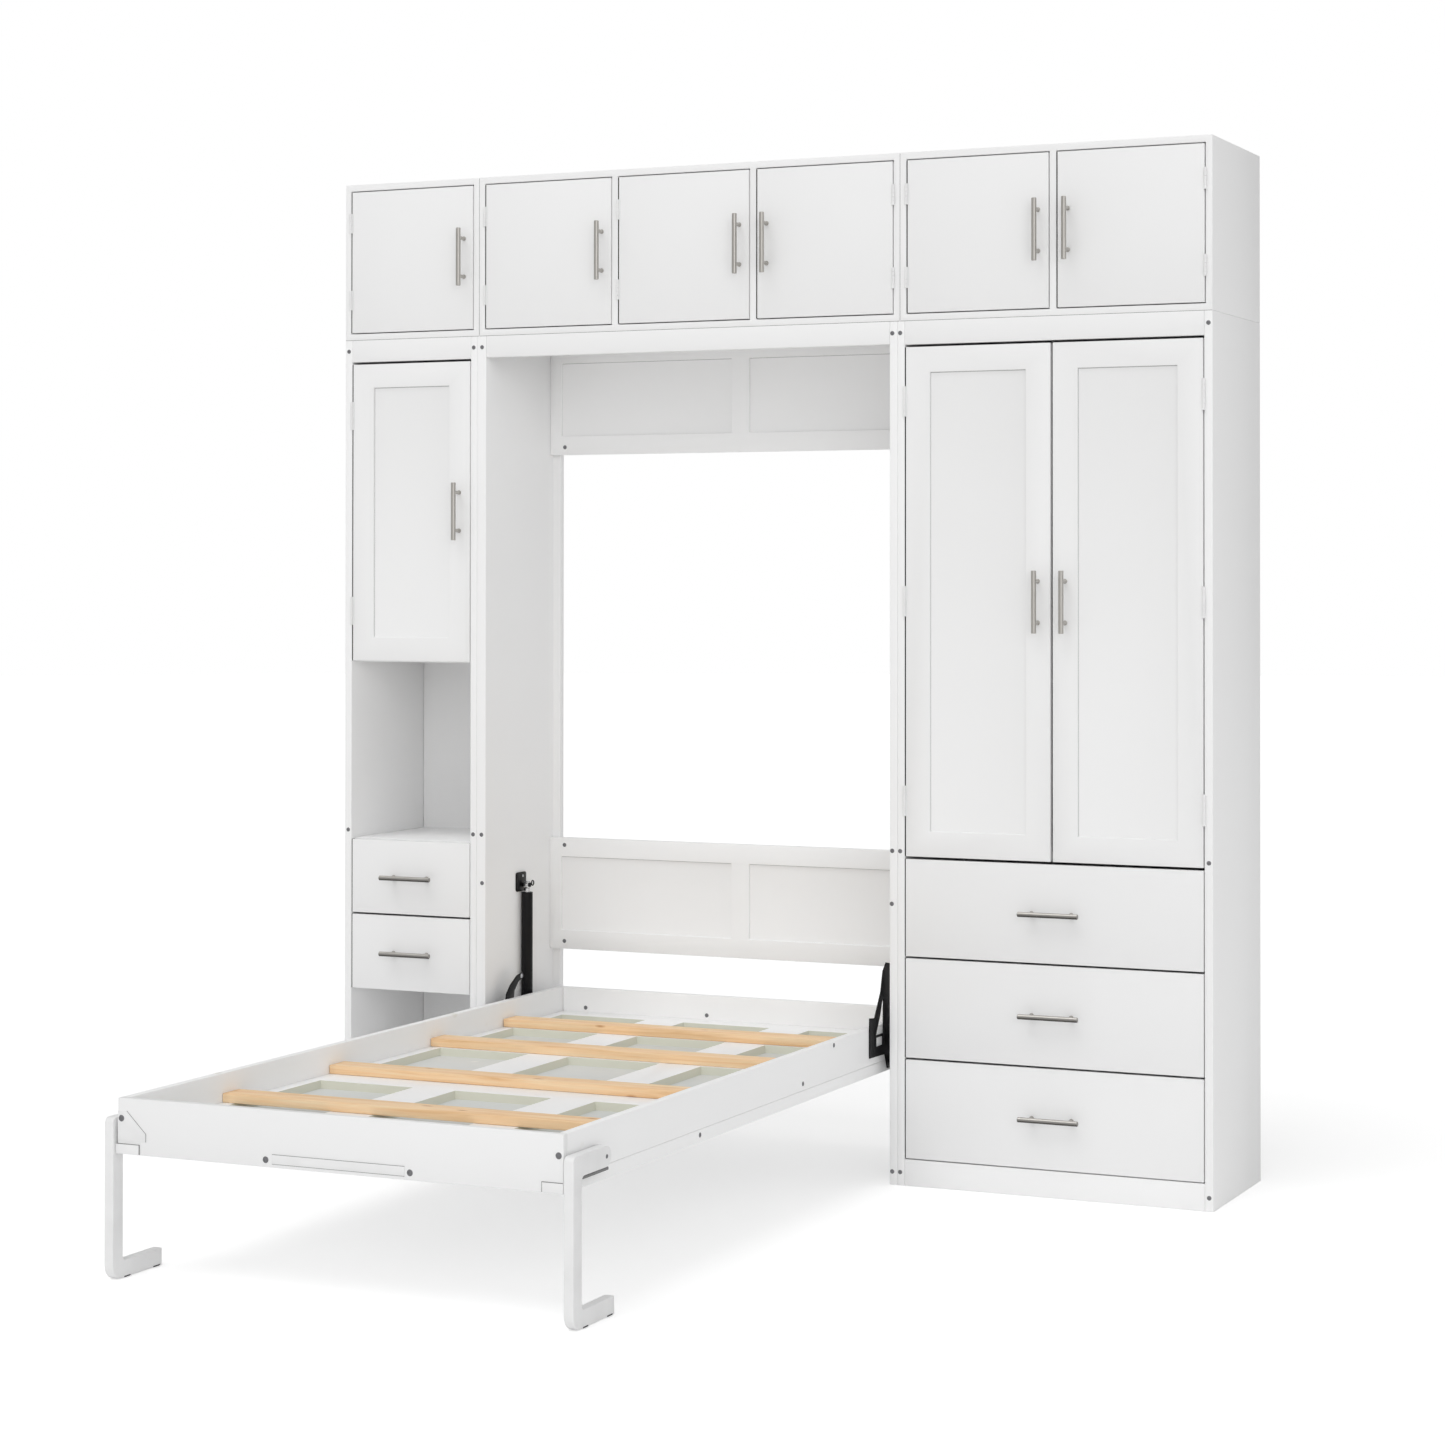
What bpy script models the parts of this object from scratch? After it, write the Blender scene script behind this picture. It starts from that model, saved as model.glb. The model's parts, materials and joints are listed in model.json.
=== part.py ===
"""Murphy wall bed: a twin fold-down bed in the middle bay of a wall of cabinets.

Every piece is placed in the cabinet frame: X from the outer left side, Y from the plane of
the cabinet fronts towards the wall, Z from the floor. One empty carries that frame into the
object's own frame, whose origin is the middle of the footprint on the floor.
"""

import math

import bmesh
import bpy
from mathutils import Matrix, Vector

# ---- driving dimensions, in metres -------------------------------------------------------
WIDTH = 2.280
HEIGHT = 2.434
DEPTH = 0.410
TOWER_WIDTH = 0.384
WARDROBE_WIDTH = 0.764
OVERHEAD_SPLITS = (0.390, 1.522)  # where the overhead cases meet
OVERHEAD_HEIGHT = 0.398
BOARD = 0.020  # floor units
INNER_SIDE = 0.018  # the tower's and the wardrobe's sides against the bay
BAY_LEFT_SIDE, BAY_RIGHT_SIDE = 0.026, 0.020
CASE_BOARD = 0.016  # overhead cases
BACK_BOARD = 0.010
TOWER_BACK_Y = 0.376  # the tower's back stands well in front of the wall
DOOR_THICK = 0.018
PLINTH = 0.062
GAP = 0.0003  # between pieces that touch
DOOR_REVEAL = 0.003  # round each inset door
DRAWER_REVEAL = 0.0025  # round each inset drawer front
HINGE_Y = -0.003  # the doors' hinge pins, just in front of the fronts

DOOR_TOP = 1.977
TOWER_DOOR_BOTTOM = 1.215
TOWER_SHELF_TOP = 0.766
TOWER_DRAWER_SPLIT = 0.574
TOWER_DRAWER_BOTTOM = 0.381
WARDROBE_DOOR_BOTTOM = 0.7715
WARDROBE_DRAWER_SPLITS = (0.0625, 0.2990, 0.5370, 0.7705)
STILE = 0.060  # shaker frame
SHAKER_DEPTH = 0.006

HANDLE_LENGTH = 0.145
HANDLE_SPACING = 0.096
HANDLE_RADIUS = 0.006
HANDLE_POST_RADIUS = 0.0045
HANDLE_STANDOFF = 0.030
OVERHEAD_HANDLE_INSET = 0.025

BACK_PANEL_Y = 0.345
BACK_PANEL_THICK = 0.018
BACK_PANEL_RAIL = 0.049
BACK_PANEL_STILE = 0.033
UPRIGHT_WIDTH = 0.0205  # behind the back panels, as far as it stands out from the side
BAY_RAIL_BOTTOM = 1.982
UPPER_PANEL_BOTTOM = 1.749
MID_PANEL_BOTTOM, MID_PANEL_TOP = 0.467, 0.755

BED_X0, BED_WIDTH = 0.446, 1.020
BED_FOOT_Y, BED_HEAD_Y = -1.608, 0.334
BED_BOTTOM, BED_TOP = 0.258, 0.372
DECK_THICK = 0.026
RAIL_THICK = 0.018
GRID_TOP, GRID_FLOOR = 0.310, 0.291  # the deck's raised frame, and its sunk fields
GRID_RIM, GRID_STILE = 0.048, 0.105
GRID_FIELDS_Y = ((-1.500, -0.910), (-0.810, -0.375), (-0.275, -0.010), (0.090, 0.255))
SLAT_WIDTH, SLAT_THICK = 0.064, 0.020
SLAT_CENTRES_Y = (-1.225, -0.795, -0.337, 0.025)
BED_PIVOT = (0.070, 0.282)  # y, z

LEG_THICK, LEG_BAR, LEG_RAIL_GAP = 0.0215, 0.036, 0.005
LEG_ARM = 0.042  # height of the top arm, which carries the pivot
LEG_PIVOT = (-1.477, 0.311)
LEG_FRONT = 0.140  # from the pivot to the front of the post
LEG_FOOT_BACK = 0.034  # from the pivot to the back end of the foot bar
LEG_CORNER_TOP, LEG_CORNER = 0.012, 0.030

STRUT_TOP = (0.190, 0.645)
STRUT_BOTTOM = (0.190, 0.300)
STRUT_INSET = {"left": 0.0163, "right": 0.0134}  # strut centre from the bay side
STRUT_CYLINDER_RADIUS = {"left": 0.0145, "right": 0.0125}
STRUT_ROD_RADIUS = 0.005
STRUT_CYLINDER_TOP = 0.627
STRUT_ROD_END = 0.450
PLATE_THICK = 0.003

# ---- derived places ----------------------------------------------------------------------
UPPER_Z = HEIGHT - OVERHEAD_HEIGHT
BAY_X0, BAY_X1 = TOWER_WIDTH, WIDTH - WARDROBE_WIDTH
BAY_IN0, BAY_IN1 = BAY_X0 + BAY_LEFT_SIDE, BAY_X1 - BAY_RIGHT_SIDE
BAY_CENTRE = (BAY_IN0 + BAY_IN1) / 2
BED_X1 = BED_X0 + BED_WIDTH
LEG_FRONT_Y = LEG_PIVOT[0] - LEG_FRONT
FRONT_Y = (-LEG_FRONT_Y - DEPTH) / 2  # puts the origin in the middle of the footprint
DECK_TOP = BED_BOTTOM + DECK_THICK

COLOURS = {
    "white_paint": ((0.83, 0.83, 0.83), 0.45, 0.0),
    "white_steel": ((0.80, 0.80, 0.80), 0.40, 0.0),
    "pine": ((0.78, 0.52, 0.27), 0.6, 0.0),
    "nickel": ((0.60, 0.58, 0.55), 0.32, 1.0),
    "bright_steel": ((0.65, 0.65, 0.66), 0.22, 1.0),
    "black_steel": ((0.02, 0.02, 0.022), 0.4, 0.0),
}


# ---- scene, collections and materials ----------------------------------------------------
def clear_scene():
    for obj in list(bpy.data.objects):
        bpy.data.objects.remove(obj)


def make_collection(name, hidden=False):
    collection = bpy.data.collections.new(name)
    collection.hide_render = hidden
    bpy.context.scene.collection.children.link(collection)
    return collection


def make_material(name):
    colour, roughness, metallic = COLOURS[name]
    material = bpy.data.materials.new(name)
    material.use_nodes = True
    shader = material.node_tree.nodes["Principled BSDF"]
    shader.inputs["Base Color"].default_value = (*colour, 1)
    shader.inputs["Roughness"].default_value = roughness
    shader.inputs["Metallic"].default_value = metallic
    return material


clear_scene()
PARTS = make_collection("murphy_wall_bed")
CUTTERS = make_collection("cutters", hidden=True)
MATERIALS = {name: make_material(name) for name in COLOURS}
CABINET_FRAME = bpy.data.objects.new("cabinet_frame", None)
CABINET_FRAME.location = (-WIDTH / 2, FRONT_Y, 0)
PARTS.objects.link(CABINET_FRAME)


# ---- shape helpers -----------------------------------------------------------------------
def add_box(shape, low, high):
    """A box between two corners."""
    low, high = Vector(low), Vector(high)
    size = Matrix.Diagonal((*(high - low), 1))
    bmesh.ops.create_cube(shape, size=1, matrix=Matrix.Translation((low + high) / 2) @ size)


def add_rod(shape, start, end, radius, sides=16):
    """A cylinder between two points."""
    start, end = Vector(start), Vector(end)
    along = end - start
    turn = along.to_track_quat("Z", "Y").to_matrix().to_4x4()
    place = Matrix.Translation((start + end) / 2) @ turn
    bmesh.ops.create_cone(
        shape,
        cap_ends=True,
        segments=sides,
        radius1=radius,
        radius2=radius,
        depth=along.length,
        matrix=place,
    )


def make_object(name, shape, material, pivot, collection=PARTS):
    """A named object whose origin is at the pivot, from a shape in cabinet coordinates."""
    bmesh.ops.translate(shape, verts=shape.verts, vec=-Vector(pivot))
    mesh = bpy.data.meshes.new(name)
    shape.to_mesh(mesh)
    shape.free()
    obj = bpy.data.objects.new(name, mesh)
    obj.location = pivot
    obj.parent = CABINET_FRAME
    if material:
        mesh.materials.append(MATERIALS[material])
    collection.objects.link(obj)
    return obj


def combine(target, operation, tool):
    """Joins a helper to the target, or cuts it away, with an exact Boolean."""
    tool.display_type = "WIRE"
    tool.hide_render = True
    modifier = target.modifiers.new(tool.name, "BOOLEAN")
    modifier.operation = operation
    modifier.solver = "EXACT"
    modifier.object = tool


def box_part(name, low, high, material="white_paint", pivot=None):
    shape = bmesh.new()
    add_box(shape, low, high)
    return make_object(name, shape, material, pivot or low)


def cut_boxes(target, label, boxes):
    """Cuts boxes that don't meet one another out of the target."""
    shape = bmesh.new()
    for low, high in boxes:
        add_box(shape, low, high)
    tool = make_object(f"{target.name}_{label}", shape, None, target.location, CUTTERS)
    combine(target, "DIFFERENCE", tool)


def join_box(target, label, low, high):
    shape = bmesh.new()
    add_box(shape, low, high)
    tool = make_object(f"{target.name}_{label}", shape, None, target.location, CUTTERS)
    combine(target, "UNION", tool)


def join_rod(target, label, start, end, radius, sides=16):
    shape = bmesh.new()
    add_rod(shape, start, end, radius, sides)
    tool = make_object(f"{target.name}_{label}", shape, None, target.location, CUTTERS)
    combine(target, "UNION", tool)


def plate_part(name, outline, x0, x1, material, pivot, collection=None):
    """A flat plate: a closed outline of (y, z) points, thick from x0 to x1."""
    curve = bpy.data.curves.new(name + "_outline", "CURVE")
    curve.dimensions = "2D"
    curve.fill_mode = "BOTH"
    curve.extrude = (x1 - x0) / 2
    spline = curve.splines.new("POLY")
    spline.points.add(len(outline) - 1)
    for point, (y, z) in zip(spline.points, outline):
        point.co = (y, z, 0, 1)
    spline.use_cyclic_u = True
    guide = bpy.data.objects.new(name + "_outline", curve)
    CUTTERS.objects.link(guide)
    graph = bpy.context.evaluated_depsgraph_get()
    mesh = bpy.data.meshes.new_from_object(guide.evaluated_get(graph))
    shape = bmesh.new()
    shape.from_mesh(mesh)
    bmesh.ops.remove_doubles(shape, verts=shape.verts, dist=1e-5)
    # The outline's plane is turned so that its x is the object's Y and its y is the object's Z.
    turn = Matrix(((0, 0, 1), (1, 0, 0), (0, 1, 0))).to_4x4()
    bmesh.ops.transform(shape, verts=shape.verts, matrix=turn)
    bmesh.ops.translate(shape, verts=shape.verts, vec=((x0 + x1) / 2, 0, 0))
    bmesh.ops.recalc_face_normals(shape, faces=shape.faces)
    bpy.data.objects.remove(guide)
    bpy.data.meshes.remove(mesh)
    return make_object(name, shape, material, pivot, collection or PARTS)


def arc(centre, radius, start, end, steps=5):
    """Points on an arc in degrees, both ends included."""
    angles = [math.radians(start + (end - start) * i / steps) for i in range(steps + 1)]
    return [(centre[0] + radius * math.cos(a), centre[1] + radius * math.sin(a)) for a in angles]


# ---- doors, drawers and handles ----------------------------------------------------------
def make_handle(name, centre, along_x, pivot):
    """A bar handle on two posts, on the front face at y = 0."""
    x, z = centre
    way = Vector((1, 0, 0)) if along_x else Vector((0, 0, 1))
    middle = Vector((x, -HANDLE_STANDOFF, z))
    shape = bmesh.new()
    half = way * HANDLE_LENGTH / 2
    add_rod(shape, middle - half, middle + half, HANDLE_RADIUS, 12)
    handle = make_object(name, shape, "nickel", pivot or middle)
    for label, side in (("post_a", -1), ("post_b", 1)):
        foot = middle + way * side * HANDLE_SPACING / 2
        face = Vector((foot.x, -GAP, foot.z))
        join_rod(handle, label, foot, face, HANDLE_POST_RADIUS, 10)
    return handle


def make_door(name, x0, x1, z0, z1, hinged_left, shaker=False, handle_inset=STILE / 2):
    """An inset door with its handle on the free edge and its origin on the hinge line."""
    hinge_x = x0 if hinged_left else x1
    pivot = (hinge_x, HINGE_Y, (z0 + z1) / 2)
    low = (x0 + DOOR_REVEAL, 0, z0 + DOOR_REVEAL)
    high = (x1 - DOOR_REVEAL, DOOR_THICK, z1 - DOOR_REVEAL)
    door = box_part(name, low, high, pivot=pivot)
    if shaker:
        field = (
            (low[0] + STILE, -DOOR_THICK, low[2] + STILE),
            (high[0] - STILE, SHAKER_DEPTH, high[2] - STILE),
        )
        cut_boxes(door, "field", [field])
    handle_x = high[0] - handle_inset if hinged_left else low[0] + handle_inset
    make_handle(name + "_handle", (handle_x, (z0 + z1) / 2), False, pivot)
    return door


def make_drawer(name, x0, x1, z0, z1, depth):
    """A drawer: inset front, open box behind it, and a bar handle."""
    side_room, wall, floor, lift = 0.012, 0.012, 0.006, 0.022
    low = (x0 + DRAWER_REVEAL, 0, z0 + DRAWER_REVEAL)
    high = (x1 - DRAWER_REVEAL, DOOR_THICK, z1 - DRAWER_REVEAL)
    pivot = ((x0 + x1) / 2, 0, (z0 + z1) / 2)
    drawer = box_part(name, low, high, pivot=pivot)
    body_low = Vector((low[0] + side_room, DOOR_THICK / 2, low[2] + lift))
    body_high = Vector((high[0] - side_room, depth, high[2] - 0.030))
    join_box(drawer, "body", body_low, body_high)
    inside_low = (body_low.x + wall, DOOR_THICK, body_low.z + floor)
    inside_high = (body_high.x - wall, depth - wall, high[2] + 0.010)
    cut_boxes(drawer, "inside", [(inside_low, inside_high)])
    make_handle(name + "_handle", (pivot[0], pivot[2]), True, pivot)
    return drawer


# ---- overhead cabinets -------------------------------------------------------------------
def make_overhead_case(name, x0, x1, cells):
    """One carcass with equal cells; returns the (x0, x1) of each cell."""
    low = (x0 + GAP / 2, 0, UPPER_Z + GAP)
    case = box_part(name, low, (x1 - GAP / 2, DEPTH, HEIGHT))
    clear = (x1 - x0 - (cells + 1) * CASE_BOARD) / cells
    spans = []
    for i in range(cells):
        left = x0 + CASE_BOARD + i * (clear + CASE_BOARD)
        spans.append((left, left + clear))
    bottom, top = UPPER_Z + CASE_BOARD, HEIGHT - CASE_BOARD
    back = DEPTH - BACK_BOARD
    cut_boxes(case, "cells", [((a, -0.01, bottom), (b, back, top)) for a, b in spans])
    return spans


def make_overheads():
    cases = (
        ("overhead_case_left", 0, OVERHEAD_SPLITS[0], (True,)),
        ("overhead_case_centre", *OVERHEAD_SPLITS, (True, True, False)),
        ("overhead_case_right", OVERHEAD_SPLITS[1], WIDTH, (True, False)),
    )
    number = 0
    for name, x0, x1, hinged_left in cases:
        for (a, b), left in zip(make_overhead_case(name, x0, x1, len(hinged_left)), hinged_left):
            number += 1
            bottom, top = UPPER_Z + CASE_BOARD, HEIGHT - CASE_BOARD
            inset = OVERHEAD_HANDLE_INSET
            make_door(f"overhead_door_{number}", a, b, bottom, top, left, handle_inset=inset)


# ---- floor units -------------------------------------------------------------------------
def make_side(name, x0, x1):
    return box_part(name, (x0 + GAP / 2, 0, 0), (x1 - GAP / 2, DEPTH, UPPER_Z))


def make_core(name, x0, x1, cells, back=DEPTH):
    """Top, shelves, plinth and back of a floor unit, with a rebate for its inset fronts."""
    low = (x0 + GAP / 2, 0, 0)
    core = box_part(name, low, (x1 - GAP / 2, back, UPPER_Z))
    rebate = BOARD + 0.0005
    wide_low, wide_high = x0 - 0.01, x1 + 0.01
    boxes = [((wide_low, rebate, z0), (wide_high, back - BACK_BOARD, z1)) for z0, z1 in cells]
    boxes.append(((wide_low, rebate, -0.01), (wide_high, back - BACK_BOARD, PLINTH - BOARD)))
    cut_boxes(core, "cells", boxes)
    front = ((wide_low, -0.01, PLINTH), (wide_high, rebate + 0.0005, DOOR_TOP + 0.003))
    cut_boxes(core, "rebate", [front])
    return core


def make_tower():
    left, right = BOARD, TOWER_WIDTH - INNER_SIDE
    make_side("tower_side_left", 0, left)
    make_side("tower_side_right", right, TOWER_WIDTH)
    cells = (
        (PLINTH, TOWER_DRAWER_BOTTOM - 0.001),
        (TOWER_DRAWER_BOTTOM + BOARD, TOWER_SHELF_TOP - BOARD),
        (TOWER_SHELF_TOP, TOWER_DOOR_BOTTOM),
        (TOWER_DOOR_BOTTOM + BOARD, UPPER_Z - BOARD),
    )
    make_core("tower_core", left, right, cells, TOWER_BACK_Y)
    make_door("tower_door", left, right, TOWER_DOOR_BOTTOM, DOOR_TOP, True, shaker=True)
    top, split, bottom = TOWER_SHELF_TOP, TOWER_DRAWER_SPLIT, TOWER_DRAWER_BOTTOM
    make_drawer("tower_drawer_upper", left, right, split, top - 0.001, 0.340)
    make_drawer("tower_drawer_lower", left, right, bottom, split, 0.340)


def make_wardrobe():
    left, right = BAY_X1 + INNER_SIDE, WIDTH - BOARD
    make_side("wardrobe_side_left", BAY_X1, left)
    make_side("wardrobe_side_right", right, WIDTH)
    deck = WARDROBE_DOOR_BOTTOM + 0.005
    cells = ((PLINTH, deck), (deck + BOARD, UPPER_Z - BOARD))
    make_core("wardrobe_core", left, right, cells)
    middle = (left + right) / 2
    for name, a, b, hinged_left in (
        ("wardrobe_door_left", left, middle, True),
        ("wardrobe_door_right", middle, right, False),
    ):
        make_door(name, a, b, WARDROBE_DOOR_BOTTOM, DOOR_TOP, hinged_left, shaker=True)
    names = ("wardrobe_drawer_bottom", "wardrobe_drawer_middle", "wardrobe_drawer_top")
    for name, z0, z1 in zip(names, WARDROBE_DRAWER_SPLITS, WARDROBE_DRAWER_SPLITS[1:]):
        make_drawer(name, left, right, z0, z1, 0.370)
    rail = bmesh.new()
    start, end = (left + GAP, 0.210, 1.890), (right - GAP, 0.210, 1.890)
    add_rod(rail, start, end, 0.0125, 16)
    make_object("hanging_rail", rail, "nickel", start)


# ---- bay that the bed folds into ---------------------------------------------------------
def make_back_panel(name, bottom, top, field_top):
    """A framed panel across the bay, with two sunk fields beside a middle stile."""
    low = (BAY_IN0 + GAP, BACK_PANEL_Y, bottom)
    high = (BAY_IN1 - GAP, BACK_PANEL_Y + BACK_PANEL_THICK, top)
    panel = box_part(name, low, high)
    sunk = BACK_PANEL_Y + SHAKER_DEPTH
    half = BACK_PANEL_RAIL / 2
    spans = (
        (BAY_IN0 + BACK_PANEL_STILE, BAY_CENTRE - half),
        (BAY_CENTRE + half, BAY_IN1 - BACK_PANEL_STILE),
    )
    z0 = bottom + BACK_PANEL_RAIL
    fields = [((a, BACK_PANEL_Y - 0.01, z0), (b, sunk, field_top)) for a, b in spans]
    cut_boxes(panel, "fields", fields)


def make_bay():
    upright_y = BACK_PANEL_Y + BACK_PANEL_THICK + GAP
    for name, outer, inner, way in (
        ("bay_side_left", BAY_X0, BAY_IN0, 1),
        ("bay_side_right", BAY_X1, BAY_IN1, -1),
    ):
        side = make_side(name, min(outer, inner), max(outer, inner))
        xs = sorted((inner - way * BOARD / 2, inner + way * UPRIGHT_WIDTH))
        join_box(side, "upright", (xs[0], upright_y, 0), (xs[1], upright_y + BOARD, UPPER_Z))
    rail_low = (BAY_IN0 + GAP, 0, BAY_RAIL_BOTTOM)
    box_part("bay_front_rail", rail_low, (BAY_IN1 - GAP, BOARD, UPPER_Z))
    make_back_panel("upper_back_panel", UPPER_PANEL_BOTTOM, UPPER_Z, UPPER_Z - BACK_PANEL_RAIL)
    make_back_panel(
        "mid_back_panel", MID_PANEL_BOTTOM, MID_PANEL_TOP, MID_PANEL_TOP - BACK_PANEL_RAIL
    )


# ---- bed ---------------------------------------------------------------------------------
def bed_pivot(x):
    return (x, *BED_PIVOT)


def make_bed_rails():
    foot = BED_FOOT_Y + RAIL_THICK + GAP
    for name, outer, way in (("bed_rail_left", BED_X0, 1), ("bed_rail_right", BED_X1, -1)):
        xs = sorted((outer, outer + way * RAIL_THICK))
        low, high = (xs[0], foot, DECK_TOP + GAP), (xs[1], BED_HEAD_Y, BED_TOP)
        box_part(name, low, high, pivot=bed_pivot(outer))
    low = (BED_X0 + RAIL_THICK + GAP, BED_HEAD_Y - RAIL_THICK, DECK_TOP + GAP)
    high = (BED_X1 - RAIL_THICK - GAP, BED_HEAD_Y, BED_TOP)
    box_part("head_board", low, high, pivot=bed_pivot(low[0]))
    low = (BED_X0, BED_FOOT_Y, BED_BOTTOM)
    high = (BED_X1, BED_FOOT_Y + RAIL_THICK, BED_TOP)
    box_part("foot_board", low, high, pivot=bed_pivot(low[0]))


def make_deck():
    """The panelled deck under the slats: its underside is the front that shows, bed up."""
    y0, y1 = BED_FOOT_Y + RAIL_THICK + GAP, BED_HEAD_Y
    low, high = (BED_X0, y0, BED_BOTTOM), (BED_X1, y1, DECK_TOP)
    deck = box_part("deck_panel", low, high, pivot=bed_pivot(BED_X0))
    side = RAIL_THICK + GAP
    grid_low = (BED_X0 + side, y0 + 0.001, DECK_TOP - 0.010)
    grid_high = (BED_X1 - side, y1 - side, GRID_TOP)
    join_box(deck, "grid", grid_low, grid_high)
    columns = 3
    wide = (BED_WIDTH - 2 * GRID_RIM - (columns - 1) * GRID_STILE) / columns
    above = []
    for i in range(columns):
        x = BED_X0 + GRID_RIM + i * (wide + GRID_STILE)
        for near, far in GRID_FIELDS_Y:
            above.append(((x, near, GRID_FLOOR), (x + wide, far, GRID_TOP + 0.05)))
    cut_boxes(deck, "above", above)
    rows, frame = 4, 0.070
    wide = (BED_WIDTH - frame * (columns + 1)) / columns
    long = (y1 - y0 - frame * (rows + 1)) / rows
    below = []
    for i in range(columns):
        for j in range(rows):
            x = BED_X0 + frame + i * (wide + frame)
            y = y0 + frame + j * (long + frame)
            below.append(((x, y, 0.2), (x + wide, y + long, BED_BOTTOM + SHAKER_DEPTH)))
    cut_boxes(deck, "below", below)


def make_slats():
    x0, x1 = BED_X0 + RAIL_THICK + 0.001, BED_X1 - RAIL_THICK - 0.001
    z0 = GRID_TOP + GAP
    for i, y in enumerate(SLAT_CENTRES_Y):
        low, high = (x0, y - SLAT_WIDTH / 2, z0), (x1, y + SLAT_WIDTH / 2, z0 + SLAT_THICK)
        box_part(f"slat_{i + 1}", low, high, "pine", bed_pivot(x0))


def leg_outline():
    """The C of a folding leg, round the pivot: top arm, post, and foot bar on the floor."""
    half, bar, r, top_r = LEG_ARM / 2, LEG_BAR, LEG_CORNER, LEG_CORNER_TOP
    front, back = -LEG_FRONT, -LEG_FRONT + bar
    floor, top = -LEG_PIVOT[1], half
    inner = 0.010
    points = arc((0, 0), half, -90, 90, 8)  # round end of the top arm
    points += arc((front + top_r, top - top_r), top_r, 90, 180)
    points += arc((front + r, floor + r), r, 180, 270)
    points += [(LEG_FOOT_BACK, floor), (LEG_FOOT_BACK, floor + bar)]
    points += arc((back + inner, floor + bar + inner), inner, 270, 180, 3)
    points += arc((back + inner, -half - inner), inner, 180, 90, 3)
    return [(y + LEG_PIVOT[0], z + LEG_PIVOT[1]) for y, z in points]


def make_legs():
    for name, rail_x, way in (("leg_left", BED_X0, -1), ("leg_right", BED_X1, 1)):
        inner = rail_x + way * LEG_RAIL_GAP
        outer = inner + way * LEG_THICK
        pivot = (inner, *LEG_PIVOT)
        x0, x1 = sorted((inner, outer))
        leg = plate_part(name, leg_outline(), x0, x1, "white_steel", pivot)
        start = (inner + way * LEG_THICK / 2, *LEG_PIVOT)
        join_rod(leg, "pivot_boss", start, (rail_x + way * GAP, *LEG_PIVOT), 0.009, 16)


# ---- fold hinges and gas struts ----------------------------------------------------------
LEFT_PLATE = (
    (-0.057, 0.302), (0.040, 0.300), (0.056, 0.264), (0.092, 0.264), (0.208, 0.282),
    (0.208, 0.318), (0.105, 0.334), (0.084, 0.366), (0.088, 0.388), (0.108, 0.408),
    (0.137, 0.418), (0.131, 0.431), (0.100, 0.424), (0.066, 0.404), (0.046, 0.384),
    (0.042, 0.362), (-0.057, 0.358),
)  # (y, z) round the plate; its short horn leans back
RIGHT_PLATE = (
    (-0.057, 0.302), (0.040, 0.300), (0.056, 0.264), (0.092, 0.264), (0.208, 0.282),
    (0.208, 0.318), (0.110, 0.334), (0.092, 0.372), (0.070, 0.512), (0.048, 0.516),
    (0.028, 0.498), (0.014, 0.450), (-0.025, 0.393), (-0.057, 0.396),
)  # its tall horn is open in the middle
RIGHT_WINDOW = (
    (-0.019, 0.351), (0.030, 0.351), (0.030, 0.432), (0.024, 0.432), (0.008, 0.395),
)


def make_fold_hardware():
    for side, bay_x, rail_x, way, outline in (
        ("left", BAY_IN0, BED_X0, 1, LEFT_PLATE),
        ("right", BAY_IN1, BED_X1, -1, RIGHT_PLATE),
    ):
        pivot = (rail_x, *BED_PIVOT)
        plate_x = sorted((rail_x - way * GAP, rail_x - way * (GAP + PLATE_THICK)))
        arm = plate_part(f"hinge_arm_{side}", outline, *plate_x, "black_steel", pivot)
        axle_end = (bay_x + way * GAP, *BED_PIVOT)
        axle_start = (rail_x - way * (GAP + PLATE_THICK / 2), *BED_PIVOT)
        wide = (plate_x[0] - 0.01, plate_x[1] + 0.01)
        cut_boxes(arm, "window", [((wide[0], -0.016, 0.324), (wide[1], 0.026, 0.3455))])
        if side == "right":
            tool = plate_part("horn_window", RIGHT_WINDOW, *wide, None, pivot, CUTTERS)
            combine(arm, "DIFFERENCE", tool)
        join_rod(arm, "axle", axle_start, axle_end, 0.008, 16)
        make_strut(side, bay_x + way * STRUT_INSET[side])


def make_strut(side, x):
    """A gas strut: the rod hangs from the bay side, the cylinder ends at the hinge arm."""
    (top_y, top_z), (low_y, low_z) = STRUT_TOP, STRUT_BOTTOM
    eye_half, radius = 0.006, STRUT_CYLINDER_RADIUS[side]
    shape = bmesh.new()
    add_rod(shape, (x, low_y, low_z), (x, low_y, STRUT_CYLINDER_TOP), radius, 20)
    cylinder = make_object(f"strut_cylinder_{side}", shape, "black_steel", (x, low_y, low_z))
    bore = bmesh.new()
    add_rod(bore, (x, top_y, STRUT_ROD_END - 0.015), (x, top_y, STRUT_CYLINDER_TOP + 0.02), STRUT_ROD_RADIUS + 0.0015, 16)
    bore_tool = make_object(f"strut_bore_{side}", bore, None, cylinder.location, CUTTERS)
    combine(cylinder, "DIFFERENCE", bore_tool)
    eye = (x - eye_half, low_y, low_z), (x + eye_half, low_y, low_z)
    join_rod(cylinder, "eye", *eye, radius + 0.002, 20)

    shape = bmesh.new()
    add_rod(shape, (x, top_y, STRUT_ROD_END), (x, top_y, top_z), STRUT_ROD_RADIUS, 16)
    rod = make_object(f"strut_rod_{side}", shape, "bright_steel", (x, top_y, top_z))
    eye = (x - eye_half, top_y, top_z), (x + eye_half, top_y, top_z)
    join_rod(rod, "eye", *eye, 0.010, 20)


def shade_round_pieces():
    """Smooth shading, with edges sharper than 30 degrees left sharp."""
    for obj in PARTS.objects:
        if obj.type == "MESH":
            obj.data.shade_smooth()
            obj.data.set_sharp_from_angle(angle=math.radians(30))


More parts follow.
